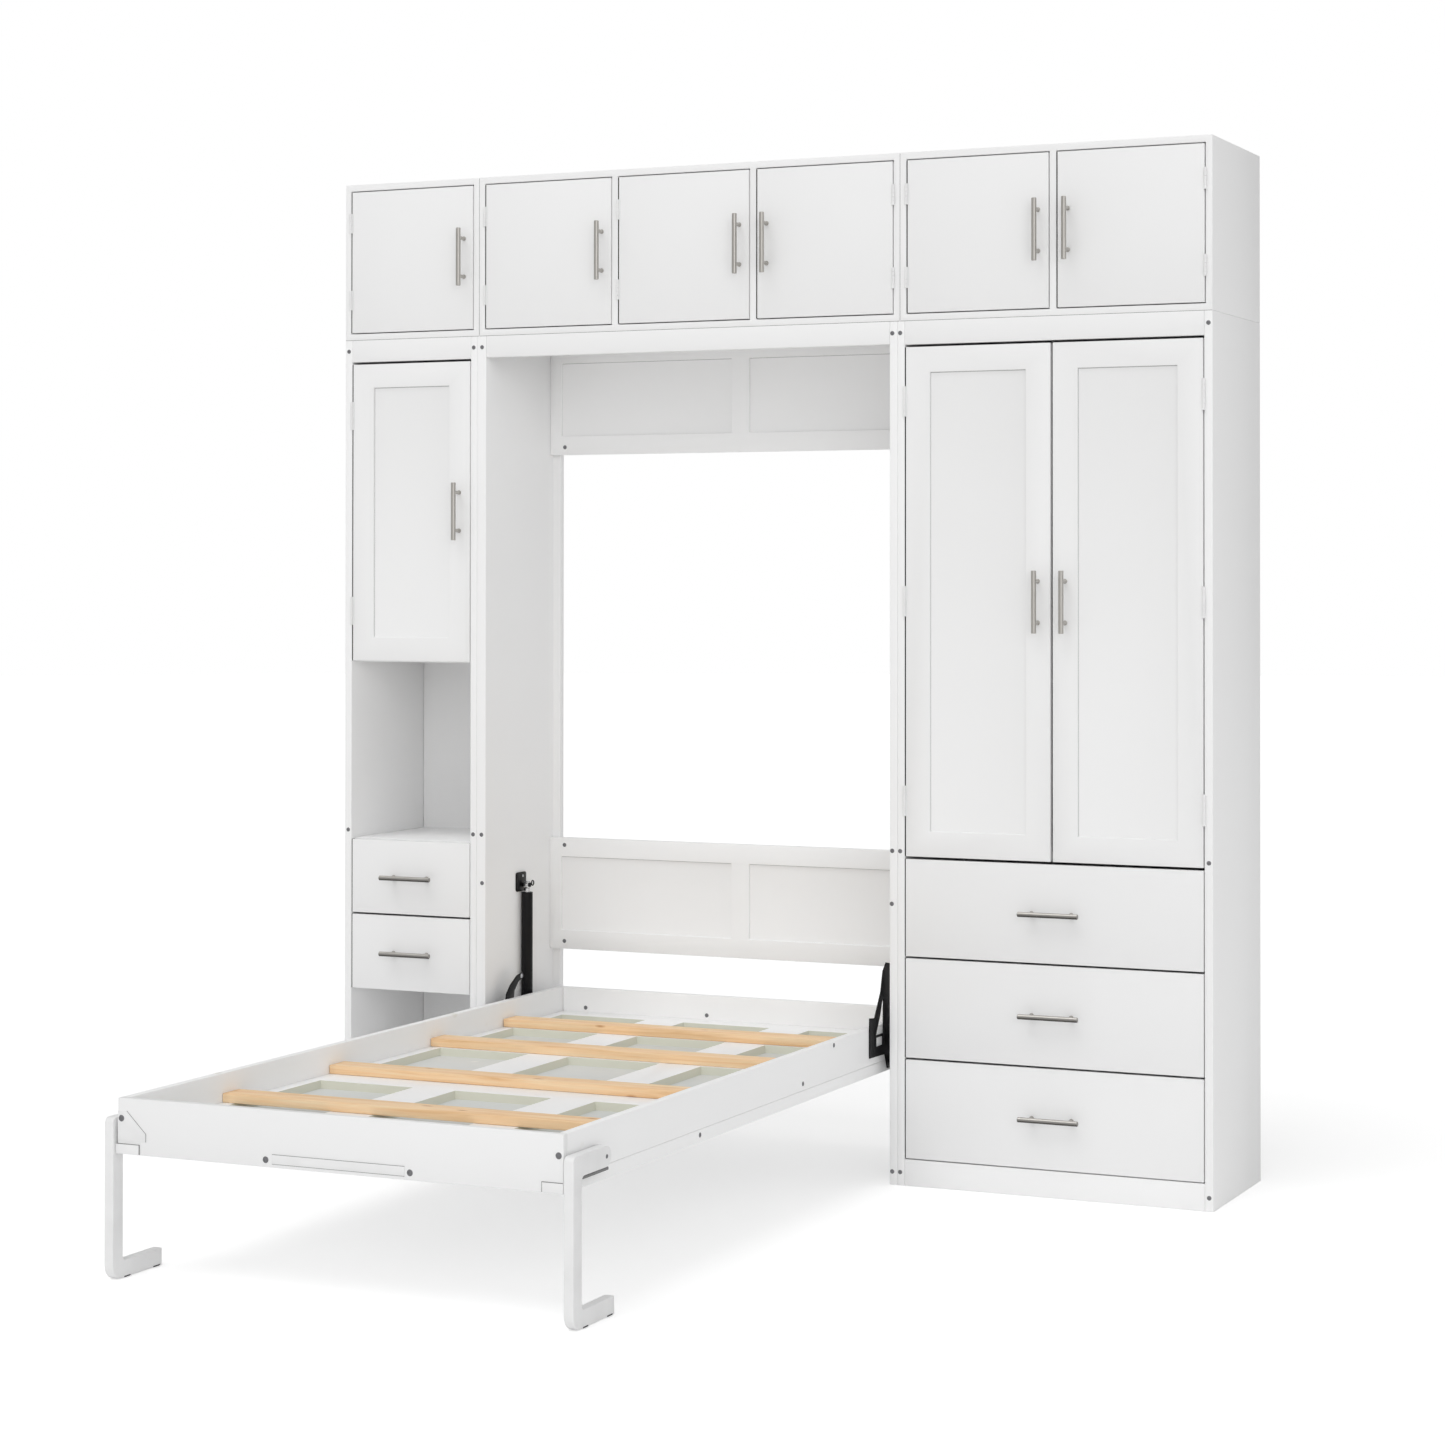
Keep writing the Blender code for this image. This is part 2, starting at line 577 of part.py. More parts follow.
make_overheads()
make_tower()
make_wardrobe()
make_bay()
make_bed_rails()
make_deck()
make_slats()
make_legs()
make_fold_hardware()
shade_round_pieces()
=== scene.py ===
"""Looks of the murphy wall bed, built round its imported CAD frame.

Places are given in the cabinet's own frame: x from the outer left side, y from the plane of
the cabinet fronts towards the wall, z from the floor. at() turns them into the row frame.
"""

import json
import math

import bmesh
import bpy
from mathutils import Matrix, Vector


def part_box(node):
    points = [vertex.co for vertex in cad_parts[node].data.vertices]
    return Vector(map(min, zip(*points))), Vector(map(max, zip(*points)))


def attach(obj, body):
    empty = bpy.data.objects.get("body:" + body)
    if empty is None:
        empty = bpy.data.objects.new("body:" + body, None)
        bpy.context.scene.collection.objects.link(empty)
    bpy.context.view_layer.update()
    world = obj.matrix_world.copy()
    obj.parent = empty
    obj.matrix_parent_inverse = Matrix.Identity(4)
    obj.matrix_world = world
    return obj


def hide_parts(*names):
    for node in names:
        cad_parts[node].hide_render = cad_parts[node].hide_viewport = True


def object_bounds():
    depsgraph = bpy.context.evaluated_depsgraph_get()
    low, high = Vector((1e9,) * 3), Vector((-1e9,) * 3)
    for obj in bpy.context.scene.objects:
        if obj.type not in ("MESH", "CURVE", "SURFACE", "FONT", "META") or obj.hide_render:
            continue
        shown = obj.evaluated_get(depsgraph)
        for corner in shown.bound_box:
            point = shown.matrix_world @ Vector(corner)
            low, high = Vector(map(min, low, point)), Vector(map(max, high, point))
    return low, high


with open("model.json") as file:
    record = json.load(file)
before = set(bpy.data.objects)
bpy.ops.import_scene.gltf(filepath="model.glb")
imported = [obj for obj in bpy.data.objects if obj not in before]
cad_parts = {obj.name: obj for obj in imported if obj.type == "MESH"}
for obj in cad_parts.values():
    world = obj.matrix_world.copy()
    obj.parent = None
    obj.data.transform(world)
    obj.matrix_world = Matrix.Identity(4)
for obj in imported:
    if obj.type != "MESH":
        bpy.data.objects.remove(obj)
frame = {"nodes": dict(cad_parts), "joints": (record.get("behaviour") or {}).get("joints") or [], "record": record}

CAD_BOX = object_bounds()
NODES = frame["nodes"]
LEFT = CAD_BOX[0].x
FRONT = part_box("tower_side_left")[0].y
BODY_OF = {
    node: body
    for body, nodes in frame["record"]["behaviour"]["bodies"].items()
    for node in nodes
}


def at(x, y, z):
    return Vector((LEFT + x, FRONT + y, z))


def cabinet_box(node):
    """A node's two corners in the cabinet frame."""
    shift = at(0, 0, 0)
    low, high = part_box(node)
    return low - shift, high - shift


# ---- camera, light and floor -------------------------------------------------------------
SENSOR, LENS = 36.0, 78.5672  # mm
LENS_SHIFT = -0.1214533  # of the frame's height: the horizon is above the middle
CAMERA_PLACE = (4.2365, -6.9387, 1.4290)
CAMERA_TURN, CAMERA_TILT, CAMERA_ROLL = 24.587, 0.566, 0.037
BRIGHT_SIDE = (0.2, -1.0, 0.0)
SURROUND_BRIGHT, SURROUND_DIM = 0.63, 0.47
SUNS = {  # name: energy, direction, softness in degrees
    "key": (0.82, (0.16, 0.50, -1.00), 38),
    "fill": (0.52, (-0.56, 0.85, -0.22), 40),
}
FLOOR_ALBEDO = 0.85
FLOOR_RADIUS, FLOOR_DROP = 40, 0.0004
FLOOR_LIFT, FLOOR_GLOW = 0.385, 0.11  # its own light, as the camera and as the object see it


def make_camera():
    data = bpy.data.cameras.new("camera")
    data.sensor_width = SENSOR
    data.lens = LENS
    data.shift_y = LENS_SHIFT
    data.clip_end = 200
    camera = bpy.data.objects.new("camera", data)
    camera.location = at(*CAMERA_PLACE)
    turn = Matrix.Rotation(math.radians(CAMERA_TURN), 4, "Z")
    tilt = Matrix.Rotation(math.radians(90 + CAMERA_TILT), 4, "X")
    roll = Matrix.Rotation(math.radians(CAMERA_ROLL), 4, "Z")
    camera.rotation_euler = (turn @ tilt @ roll).to_euler()
    bpy.context.scene.collection.objects.link(camera)
    bpy.context.scene.camera = camera


def make_world():
    """A white surround that lights most from the front, and looks plain white to the camera."""
    world = bpy.data.worlds.new("studio")
    bpy.context.scene.world = world
    world.use_nodes = True
    nodes, links = world.node_tree.nodes, world.node_tree.links
    nodes.clear()
    place = nodes.new("ShaderNodeTexCoord")
    facing = nodes.new("ShaderNodeVectorMath")
    facing.operation = "DOT_PRODUCT"
    facing.inputs[1].default_value = Vector(BRIGHT_SIDE).normalized()
    links.new(place.outputs["Generated"], facing.inputs[0])
    fade = nodes.new("ShaderNodeMapRange")
    fade.inputs["From Min"].default_value = -1.0
    fade.inputs["From Max"].default_value = 1.0
    fade.inputs["To Min"].default_value = SURROUND_DIM
    fade.inputs["To Max"].default_value = SURROUND_BRIGHT
    links.new(facing.outputs["Value"], fade.inputs["Value"])
    surround = nodes.new("ShaderNodeBackground")
    surround.inputs["Color"].default_value = (1, 1, 1, 1)
    links.new(fade.outputs["Result"], surround.inputs["Strength"])
    backdrop = nodes.new("ShaderNodeBackground")
    backdrop.inputs["Color"].default_value = (1, 1, 1, 1)
    backdrop.inputs["Strength"].default_value = 1.0
    ray = nodes.new("ShaderNodeLightPath")
    mix = nodes.new("ShaderNodeMixShader")
    links.new(ray.outputs["Is Camera Ray"], mix.inputs["Fac"])
    links.new(surround.outputs["Background"], mix.inputs[1])
    links.new(backdrop.outputs["Background"], mix.inputs[2])
    out = nodes.new("ShaderNodeOutputWorld")
    links.new(mix.outputs["Shader"], out.inputs["Surface"])


def make_lights():
    for name, (energy, towards, softness) in SUNS.items():
        sun = bpy.data.lights.new(name, "SUN")
        sun.energy = energy
        sun.angle = math.radians(softness)
        lamp = bpy.data.objects.new(name, sun)
        lamp.rotation_euler = Vector(towards).to_track_quat("-Z", "Y").to_euler()
        bpy.context.scene.collection.objects.link(lamp)


def make_floor():
    """A wide white disc that takes the object's shadow and runs into the white surround."""
    shape = bmesh.new()
    bmesh.ops.create_circle(shape, cap_ends=True, segments=96, radius=FLOOR_RADIUS)
    mesh = bpy.data.meshes.new("floor")
    shape.to_mesh(mesh)
    shape.free()
    floor = bpy.data.objects.new("floor", mesh)
    floor.location.z = -FLOOR_DROP
    bpy.context.scene.collection.objects.link(floor)
    material = bpy.data.materials.new("floor")
    material.use_nodes = True
    nodes, links = material.node_tree.nodes, material.node_tree.links
    shader = nodes["Principled BSDF"]
    shader.inputs["Base Color"].default_value = (FLOOR_ALBEDO, FLOOR_ALBEDO, FLOOR_ALBEDO, 1)
    shader.inputs["Roughness"].default_value = 0.9
    shader.inputs["Specular IOR Level"].default_value = 0.0
    shader.inputs["Emission Color"].default_value = (1, 1, 1, 1)
    ray = nodes.new("ShaderNodeLightPath")
    glow = nodes.new("ShaderNodeMapRange")
    glow.inputs["To Min"].default_value = FLOOR_GLOW
    glow.inputs["To Max"].default_value = FLOOR_LIFT
    links.new(ray.outputs["Is Camera Ray"], glow.inputs["Value"])
    links.new(glow.outputs["Result"], shader.inputs["Emission Strength"])
    mesh.materials.append(material)


# ---- materials ---------------------------------------------------------------------------
GRAIN_X, GRAIN_Y, GRAIN_Z = (1.2, 26.0, 26.0), (26.0, 1.2, 26.0), (26.0, 26.0, 1.2)
FIELD_BOTTOM, FIELD_TOP = 0.285, 0.309  # heights that hold the fields in the deck's upper face
STEP_HALF = 0.0005
# painted shade: the grey-green that darkens the floors of the deck's sunk fields
FIELD_SHADE_COLOUR = (0.52, 0.54, 0.51)


class Graph:
    """A Principled material and short ways to add the nodes that shape it."""

    def __init__(self, name, colour, roughness, metallic=0.0):
        self.material = bpy.data.materials.new(name)
        self.material.use_nodes = True
        self.nodes = self.material.node_tree.nodes
        self.links = self.material.node_tree.links
        self.shader = self.nodes["Principled BSDF"]
        self.shader.inputs["Base Color"].default_value = (*colour, 1)
        self.shader.inputs["Roughness"].default_value = roughness
        self.shader.inputs["Metallic"].default_value = metallic
        self.place = self.nodes.new("ShaderNodeTexCoord").outputs["Object"]

    def stretched(self, scale):
        """Object coordinates, scaled along each axis."""
        node = self.nodes.new("ShaderNodeMapping")
        node.inputs["Scale"].default_value = scale
        self.links.new(self.place, node.inputs["Vector"])
        return node.outputs["Vector"]

    def noise(self, scale, detail=3.0, vector=None, roughness=0.5, distortion=0.0):
        node = self.nodes.new("ShaderNodeTexNoise")
        node.inputs["Scale"].default_value = scale
        node.inputs["Detail"].default_value = detail
        node.inputs["Roughness"].default_value = roughness
        node.inputs["Distortion"].default_value = distortion
        self.links.new(vector or self.place, node.inputs["Vector"])
        return node.outputs["Fac"]

    def ramp(self, value, stops):
        """Colours or greys along a value: stops are (position, grey or colour)."""
        node = self.nodes.new("ShaderNodeValToRGB")
        elements = node.color_ramp.elements
        while len(elements) < len(stops):
            elements.new(0.5)
        for element, (position, colour) in zip(elements, stops):
            element.position = position
            if isinstance(colour, (int, float)):
                colour = (colour, colour, colour)
            element.color = (*colour, 1)
        self.links.new(value, node.inputs["Fac"])
        return node.outputs["Color"]

    def mix(self, factor, first, second, blend="MIX"):
        node = self.nodes.new("ShaderNodeMix")
        node.data_type = "RGBA"
        node.blend_type = blend
        for socket, value in ((0, factor), (6, first), (7, second)):
            if isinstance(value, (int, float)):
                node.inputs[socket].default_value = value
            elif isinstance(value, tuple):
                node.inputs[socket].default_value = (*value, 1)
            else:
                self.links.new(value, node.inputs[socket])
        return node.outputs[2]

    def bump(self, height, distance, strength=1.0, under=None):
        node = self.nodes.new("ShaderNodeBump")
        node.inputs["Distance"].default_value = distance
        node.inputs["Strength"].default_value = strength
        self.links.new(height, node.inputs["Height"])
        if under:
            self.links.new(under, node.inputs["Normal"])
        return node.outputs["Normal"]

    def z_of(self, vector):
        split = self.nodes.new("ShaderNodeSeparateXYZ")
        self.links.new(vector, split.inputs["Vector"])
        return split.outputs["Z"]

    def facing_up(self, operation):
        """A maths node fed with how far a face looks up: 1 for level, -1 for upside down."""
        node = self.nodes.new("ShaderNodeMath")
        node.operation = operation
        normal = self.nodes.new("ShaderNodeTexCoord").outputs["Normal"]
        self.links.new(self.z_of(normal), node.inputs[0])
        return node

    def upright(self):
        """1 on upright faces and 0 on level ones."""
        steep = self.facing_up("ABSOLUTE")
        return self.ramp(steep.outputs["Value"], [(0.3, 1.0), (0.7, 0.0)])

    def painted_underside_shade(self, dark):
        """Painted shade: 1 on faces that look up, falling to a dark grey on those that look down."""
        half = self.facing_up("MULTIPLY_ADD")
        half.inputs[1].default_value = 0.5
        half.inputs[2].default_value = 0.5
        return self.ramp(half.outputs["Value"], [(0.25, dark), (0.55, 0.75), (0.75, 1.0)])

    def step(self, height, below, above):
        """A grey that goes from one value to another at a height."""
        fade = self.nodes.new("ShaderNodeMapRange")
        fade.inputs["From Min"].default_value = height - STEP_HALF
        fade.inputs["From Max"].default_value = height + STEP_HALF
        fade.inputs["To Min"].default_value = below
        fade.inputs["To Max"].default_value = above
        self.links.new(self.z_of(self.place), fade.inputs["Value"])
        return fade.outputs["Result"]

    def knots(self, stretch, stops):
        """Round spots, each at its own place: stops are (distance from its middle, grey)."""
        cells = self.nodes.new("ShaderNodeTexVoronoi")
        cells.inputs["Scale"].default_value = 1.0
        self.links.new(self.stretched(stretch), cells.inputs["Vector"])
        return self.ramp(cells.outputs["Distance"], stops)

    def set(self, **sockets):
        names = {"colour": "Base Color", "roughness": "Roughness", "normal": "Normal"}
        for key, value in sockets.items():
            self.links.new(value, self.shader.inputs[names[key]])
        return self.material


def white_lacquer(name, grain_way, light=0.93, wall_tint_and_shade=None, knots=0.0):
    """Satin white lacquer on board: faint grain under it, orange peel, and on pine, knots.

    wall_tint_and_shade is the colour of the upright faces in the deck's sunk fields, a cream tint darkened as
    painted shade; the fields' floors are darkened in patches as painted shade too.
    """
    graph = Graph(name, (light, light, light), 0.42)
    graph.shader.inputs["Specular IOR Level"].default_value = 0.42
    cloud = graph.noise(2.3, 2.0)
    dim = light - 0.012
    colour = graph.ramp(cloud, [(0.3, (dim, dim, dim)), (0.7, (light, light, light))])
    # painted shade in the deck's sunk fields: floors darkened in patches, upright walls tinted cream and darkened
    if wall_tint_and_shade:
        inside = graph.step(FIELD_BOTTOM, 0.0, 1.0)
        low = graph.mix(1.0, graph.step(FIELD_TOP, 1.0, 0.0), inside, "MULTIPLY")
        steep = graph.mix(1.0, graph.upright(), inside, "MULTIPLY")
        fade = graph.ramp(graph.noise(2.0, 1.0), [(0.35, 0.58), (0.65, 0.74)])
        sunk = graph.mix(1.0, low, fade, "MULTIPLY")
        colour = graph.mix(sunk, colour, FIELD_SHADE_COLOUR)
        colour = graph.mix(steep, colour, wall_tint_and_shade)
    if knots:
        stretch = tuple(7.0 if scale == max(grain_way) else 5.0 for scale in grain_way)
        spots = graph.knots(stretch, [(0.03, 1.0), (0.09, 0.0)])
        stain = tuple(light - share * knots for share in (1.0, 1.1, 1.4))
        colour = graph.mix(spots, colour, stain)
    grain = graph.noise(1.0, 4.0, graph.stretched(grain_way), 0.6)
    peel = graph.noise(420.0, 1.0)
    normal = graph.bump(grain, 0.00025, 0.5)
    normal = graph.bump(peel, 0.00006, 0.5, normal)
    sheen = graph.ramp(graph.noise(38.0, 3.0), [(0.3, 0.38), (0.7, 0.48)])
    return graph.set(colour=colour, roughness=sheen, normal=normal)


def powder_coat(name, colour, roughness):
    """Paint baked on steel: a fine speckled skin, which shines less when it is black."""
    graph = Graph(name, colour, roughness)
    graph.shader.inputs["Specular IOR Level"].default_value = 0.22 if colour[0] < 0.1 else 0.5
    speck = graph.noise(900.0, 2.0)
    darker = tuple(0.94 * c for c in colour)
    shade = graph.ramp(graph.noise(14.0, 2.0), [(0.3, darker), (0.7, colour)])
    sheen = graph.ramp(graph.noise(60.0, 2.0), [(0.3, roughness - 0.05), (0.7, roughness + 0.06)])
    return graph.set(colour=shade, roughness=sheen, normal=graph.bump(speck, 0.00008, 0.6))


def pine(name):
    """Sanded pine with its grain along X."""
    graph = Graph(name, (0.80, 0.55, 0.31), 0.55)
    long_way = graph.stretched((1.6, 24.0, 30.0))
    bands = graph.noise(1.4, 3.0, long_way, 0.55, 1.4)
    colour = graph.ramp(
        bands,
        [(0.25, (0.84, 0.50, 0.24)), (0.45, (0.97, 0.66, 0.38)), (0.72, (1.00, 0.78, 0.52))],
    )
    fibres = graph.noise(1.0, 5.0, graph.stretched((9.0, 420.0, 420.0)), 0.7)
    colour = graph.mix(0.18, colour, graph.ramp(fibres, [(0.3, 0.5), (0.7, 1.0)]), "MULTIPLY")
    streaks = graph.noise(1.0, 2.0, graph.stretched((2.2, 70.0, 70.0)), 0.5)
    streaks = graph.ramp(streaks, [(0.66, 0.0), (0.74, 0.55)])
    colour = graph.mix(streaks, colour, (0.62, 0.30, 0.12))
    spots = graph.knots((7.0, 22.0, 22.0), [(0.04, 0.8), (0.12, 0.0)])
    colour = graph.mix(spots, colour, (0.50, 0.22, 0.08))
    normal = graph.bump(fibres, 0.0002, 0.6)
    sheen = graph.ramp(fibres, [(0.3, 0.62), (0.7, 0.50)])
    return graph.set(colour=colour, roughness=sheen, normal=normal)


def brushed_nickel(name, along):
    """Brushed metal: fine scratches that run along one axis, and on level bars painted shade on the faces that
    look down.
    """
    graph = Graph(name, (0.50, 0.48, 0.45), 0.34, 1.0)
    stretch = tuple(40.0 if axis == along else 2600.0 for axis in range(3))
    scratches = graph.noise(1.0, 3.0, graph.stretched(stretch), 0.65)
    colour = graph.ramp(scratches, [(0.3, (0.40, 0.385, 0.36)), (0.7, (0.56, 0.54, 0.51))])
    if along == 0:
        # painted shade: the level bars darken on their faces that look down
        colour = graph.mix(1.0, colour, graph.painted_underside_shade(0.16), "MULTIPLY")
    sheen = graph.ramp(scratches, [(0.3, 0.28), (0.7, 0.44)])
    return graph.set(colour=colour, roughness=sheen, normal=graph.bump(scratches, 0.00003, 0.5))


def steel(name, colour, roughness):
    graph = Graph(name, colour, roughness, 1.0)
    wear = graph.noise(180.0, 3.0)
    darker = tuple(0.8 * c for c in colour)
    shade = graph.ramp(wear, [(0.35, darker), (0.65, colour)])
    sheen = graph.ramp(graph.noise(60.0, 3.0), [(0.3, roughness - 0.05), (0.7, roughness + 0.08)])
    return graph.set(colour=shade, roughness=sheen, normal=graph.bump(wear, 0.00004, 0.4))


# Grainy matte: rubber for the foot pads, and the black and grey strips of painted shade in gaps and seams.
def rubber_and_gap_shade(name, grey):
    graph = Graph(name, (grey, grey, grey), 0.75)
    grain = graph.noise(700.0, 3.0)
    shade = graph.ramp(grain, [(0.3, 0.7 * grey), (0.7, 1.2 * grey)])
    return graph.set(colour=shade, normal=graph.bump(grain, 0.0001, 0.7))


# The copies of the white lacquer differ in lightness group by group to match how lit each group looks: painted
# light and shade. The back panels, bed boards and deck, which sit in shade, are made lightest.
LACQUER_UP = white_lacquer("white_lacquer_upright", GRAIN_Z)
LACQUER_WIDE = white_lacquer("white_lacquer_level", GRAIN_X, 0.91)
DOOR_LACQUER = white_lacquer("door_lacquer", GRAIN_Z, 0.90)
DRAWER_LACQUER = white_lacquer("drawer_lacquer", GRAIN_X, 0.885)
BACK_LACQUER = white_lacquer("back_lacquer", GRAIN_X, 0.955)
BED_LONG = white_lacquer("bed_lacquer_long", GRAIN_Y, 0.965, knots=0.15)
BED_WIDE = white_lacquer("bed_lacquer_wide", GRAIN_X, 0.965)
DECK_WHITE = white_lacquer("deck_lacquer", GRAIN_Y, 0.965, (0.70, 0.70, 0.60), 0.12)
WHITE_COAT = powder_coat("white_powder_coat", (0.88, 0.88, 0.88), 0.38)
BLACK_COAT = powder_coat("black_coat", (0.004, 0.004, 0.005), 0.42)
PINE = pine("pine")
NICKEL_UP = brushed_nickel("brushed_nickel_upright", 2)
NICKEL_WIDE = brushed_nickel("brushed_nickel_level", 0)
BOLT_STEEL = steel("bolt_steel", (0.27, 0.27, 0.28), 0.5)
ROD_STEEL = steel("rod_steel", (0.72, 0.72, 0.73), 0.16)
ZINC = steel("zinc_plate", (0.62, 0.63, 0.65), 0.34)
# painted shade: the grey of the lines round sunk fields and raised plates
SHADE_LINE_GREY = powder_coat("painted_shade_lines", (0.36, 0.36, 0.36), 0.6)
# the black one is the foot pads' rubber and also the painted shade in the fronts' gaps
BLACK_RUBBER_AND_SHADE = rubber_and_gap_shade("rubber_and_gap_shade", 0.018)
# painted shade: the grey of the strips in seams and gaps
GAP_SHADE_GREY = rubber_and_gap_shade("painted_gap_shade_grey", 0.22)


# ---- shapes ------------------------------------------------------------------------------
X_AXIS, Y_AXIS, Z_AXIS = Vector((1, 0, 0)), Vector((0, 1, 0)), Vector((0, 0, 1))
FORWARD = -Y_AXIS
SHARP = 35  # degrees between faces: a sharper edge is rounded, and shaded sharp
SAME_POINT = 2e-5
NEAR = 0.0002  # between a fitting and the face that it sits on


def place_piece(name, shape, material, body, replaces=(), smooth=SHARP):
    """Turns a shape in the row frame into a piece that rides on a body."""
    mesh = bpy.data.meshes.new(name)
    bmesh.ops.recalc_face_normals(shape, faces=shape.faces)
    shape.to_mesh(mesh)
    shape.free()
    piece = bpy.data.objects.new(name, mesh)
    bpy.context.scene.collection.objects.link(piece)
    mesh.materials.append(material)
    mesh.shade_smooth()
    mesh.set_sharp_from_angle(angle=math.radians(smooth))
    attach(piece, body)
    if replaces:
        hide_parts(*replaces)


def ease(shape, radius, segments=2):
    """Rounds every sharp edge."""
    bmesh.ops.bevel(
        shape,
        geom=[e for e in shape.edges if e.calc_face_angle(0) > math.radians(SHARP)],
        offset=radius,
        segments=segments,
        profile=0.5,
        affect="EDGES",
        clamp_overlap=True,
    )


def node_shape(node):
    """A node's own shape, with one face for each of its flat sides."""
    shape = bmesh.new()
    shape.from_mesh(NODES[node].data)
    bmesh.ops.remove_doubles(shape, verts=shape.verts, dist=SAME_POINT)
    flat = math.radians(0.5)
    bmesh.ops.dissolve_limit(shape, angle_limit=flat, verts=shape.verts, edges=shape.edges)
    return shape


def eased_node(node, material, radius=0.0011, segments=2):
    """The node's own shape, with its edges rounded as the real board's are."""
    shape = node_shape(node)
    ease(shape, radius, segments)
    place_piece(f"{node}_eased", shape, material, BODY_OF[node], (node,))


def block(shape, low, high):
    """Adds a box between two corners given in the row frame."""
    size = Matrix.Diagonal((*(high - low), 1))
    middle = Matrix.Translation((low + high) / 2)
    bmesh.ops.create_cube(shape, size=1, matrix=middle @ size)


def box_shape(shape, low, high):
    """Adds a box between two corners given in the cabinet frame."""
    block(shape, at(*low), at(*high))


def bridge(shape, rings):
    """Joins each ring of vertices to the next, and closes both ends."""
    for lower, upper in zip(rings, rings[1:]):
        for i in range(len(lower)):
            j = (i + 1) % len(lower)
            shape.faces.new((lower[i], lower[j], upper[j], upper[i]))
    shape.faces.new(rings[0][::-1])
    shape.faces.new(rings[-1])


def spokes(along, sides):
    """Unit vectors all round an axis."""
    across = along.orthogonal().normalized()
    other = along.cross(across)
    turns = [math.tau * i / sides for i in range(sides)]
    return [across * math.cos(turn) + other * math.sin(turn) for turn in turns]


def turned(shape, profile, start, along, sides=24):
    """Adds a turned solid: profile is (distance along the axis, radius) from end to end."""
    around = spokes(along, sides)
    rings = []
    for distance, radius in profile:
        middle = start + along * distance
        rings.append([shape.verts.new(middle + spoke * radius) for spoke in around])
    bridge(shape, rings)


def swept(shape, outline, path, axis_x, axis_y):
    """Adds an outline carried along a straight path of points."""
    bridge(
        shape,
        [[shape.verts.new(p + axis_x * a + axis_y * b) for a, b in outline] for p in path],
    )


# ---- painted boards ----------------------------------------------------------------------
DRAWERS = [n for n in NODES if "drawer" in n and not n.endswith("handle")]
DOORS = [f"overhead_door_{i}" for i in range(1, 7)]
DOORS += ["tower_door", "wardrobe_door_left", "wardrobe_door_right"]
OVERHEAD_CASES = [n for n in NODES if n.startswith("overhead_case")]
BACK_PANELS = ["upper_back_panel", "mid_back_panel"]


def make_boards():
    sides = [n for n in NODES if n.startswith(("tower_side", "wardrobe_side", "bay_side"))]
    level = ["tower_core", "wardrobe_core", "bay_front_rail", *OVERHEAD_CASES]
    groups = ((sides, LACQUER_UP), (DOORS, DOOR_LACQUER), (level, LACQUER_WIDE))
    groups += ((DRAWERS, DRAWER_LACQUER), (BACK_PANELS, BACK_LACQUER))
    for nodes, material in groups:
        for node in nodes:
            eased_node(node, material)


def make_bed_boards():
    rail_edge, deck_edge, slat_edge = 0.0016, 0.0014, 0.002
    for node in ("bed_rail_left", "bed_rail_right"):
        eased_node(node, BED_LONG, rail_edge)
    # the head board, in shade inside the bed, takes the lighter bed white as painted light; the foot board takes
    # the cabinet's white
    eased_node("head_board", BED_WIDE, rail_edge)
    eased_node("foot_board", LACQUER_WIDE, rail_edge)
    eased_node("deck_panel", DECK_WHITE, deck_edge)
    for i in range(1, 5):
        eased_node(f"slat_{i}", PINE, slat_edge)


# ---- handles -----------------------------------------------------------------------------
HANDLE_SPACING = 0.096
HANDLE_CHAMFER = 0.0009
HANDLE_COLLAR = 0.0012  # how far the collar stands out round its post


def make_handle(node):
    """A bar handle: bar with eased ends, on two posts with a small collar at the face."""
    low, high = cabinet_box(node)
    size = high - low
    level = size.x > size.z
    along = X_AXIS if level else Z_AXIS
    length = max(size.x, size.z)
    bar = min(size.x, size.z) / 2
    centre = (low + high) / 2
    middle = at(centre.x, low.y + bar, centre.z)
    shape = bmesh.new()
    ends = [(0, bar - HANDLE_CHAMFER), (HANDLE_CHAMFER, bar)]
    ends += [(length - distance, radius) for distance, radius in reversed(ends)]
    turned(shape, ends, middle - along * length / 2, along, 28)
    post = bar * 0.72
    collar = post + HANDLE_COLLAR
    reach = FRONT - NEAR - middle.y
    profile = [(0, post), (reach - 0.0022, post), (reach - 0.0018, collar)]
    profile += [(reach - 0.0004, collar), (reach, post + 0.0008)]
    for side in (-1, 1):
        turned(shape, profile, middle + along * side * HANDLE_SPACING / 2, Y_AXIS)
    material = NICKEL_WIDE if level else NICKEL_UP
    place_piece(f"{node}_bar", shape, material, BODY_OF[node], (node,))


def make_handles():
    for node in [n for n in NODES if n.endswith("_handle")]:
        make_handle(node)


# ---- bolts -------------------------------------------------------------------------------
BOLT_RADIUS = 0.0052
BOLT_RISE, BOLT_SUNK, SOCKET_BOTTOM = 0.0009, 0.0012, 0.0003
POST_BOLT_XS = (0.010, 0.374, 0.398, 1.5025, 1.5225, 2.270)
POST_BOLT_ZS = (2.008, 0.786, 0.031)
STRUT_BOLTS = ((0.400, 0.665), (1.5015, 0.661))  # x, z on the bay's front edges
BACK_BOLT_XS, BACK_BOLT_ZS = (0.453, 1.459), (1.769, 0.736, 0.487)


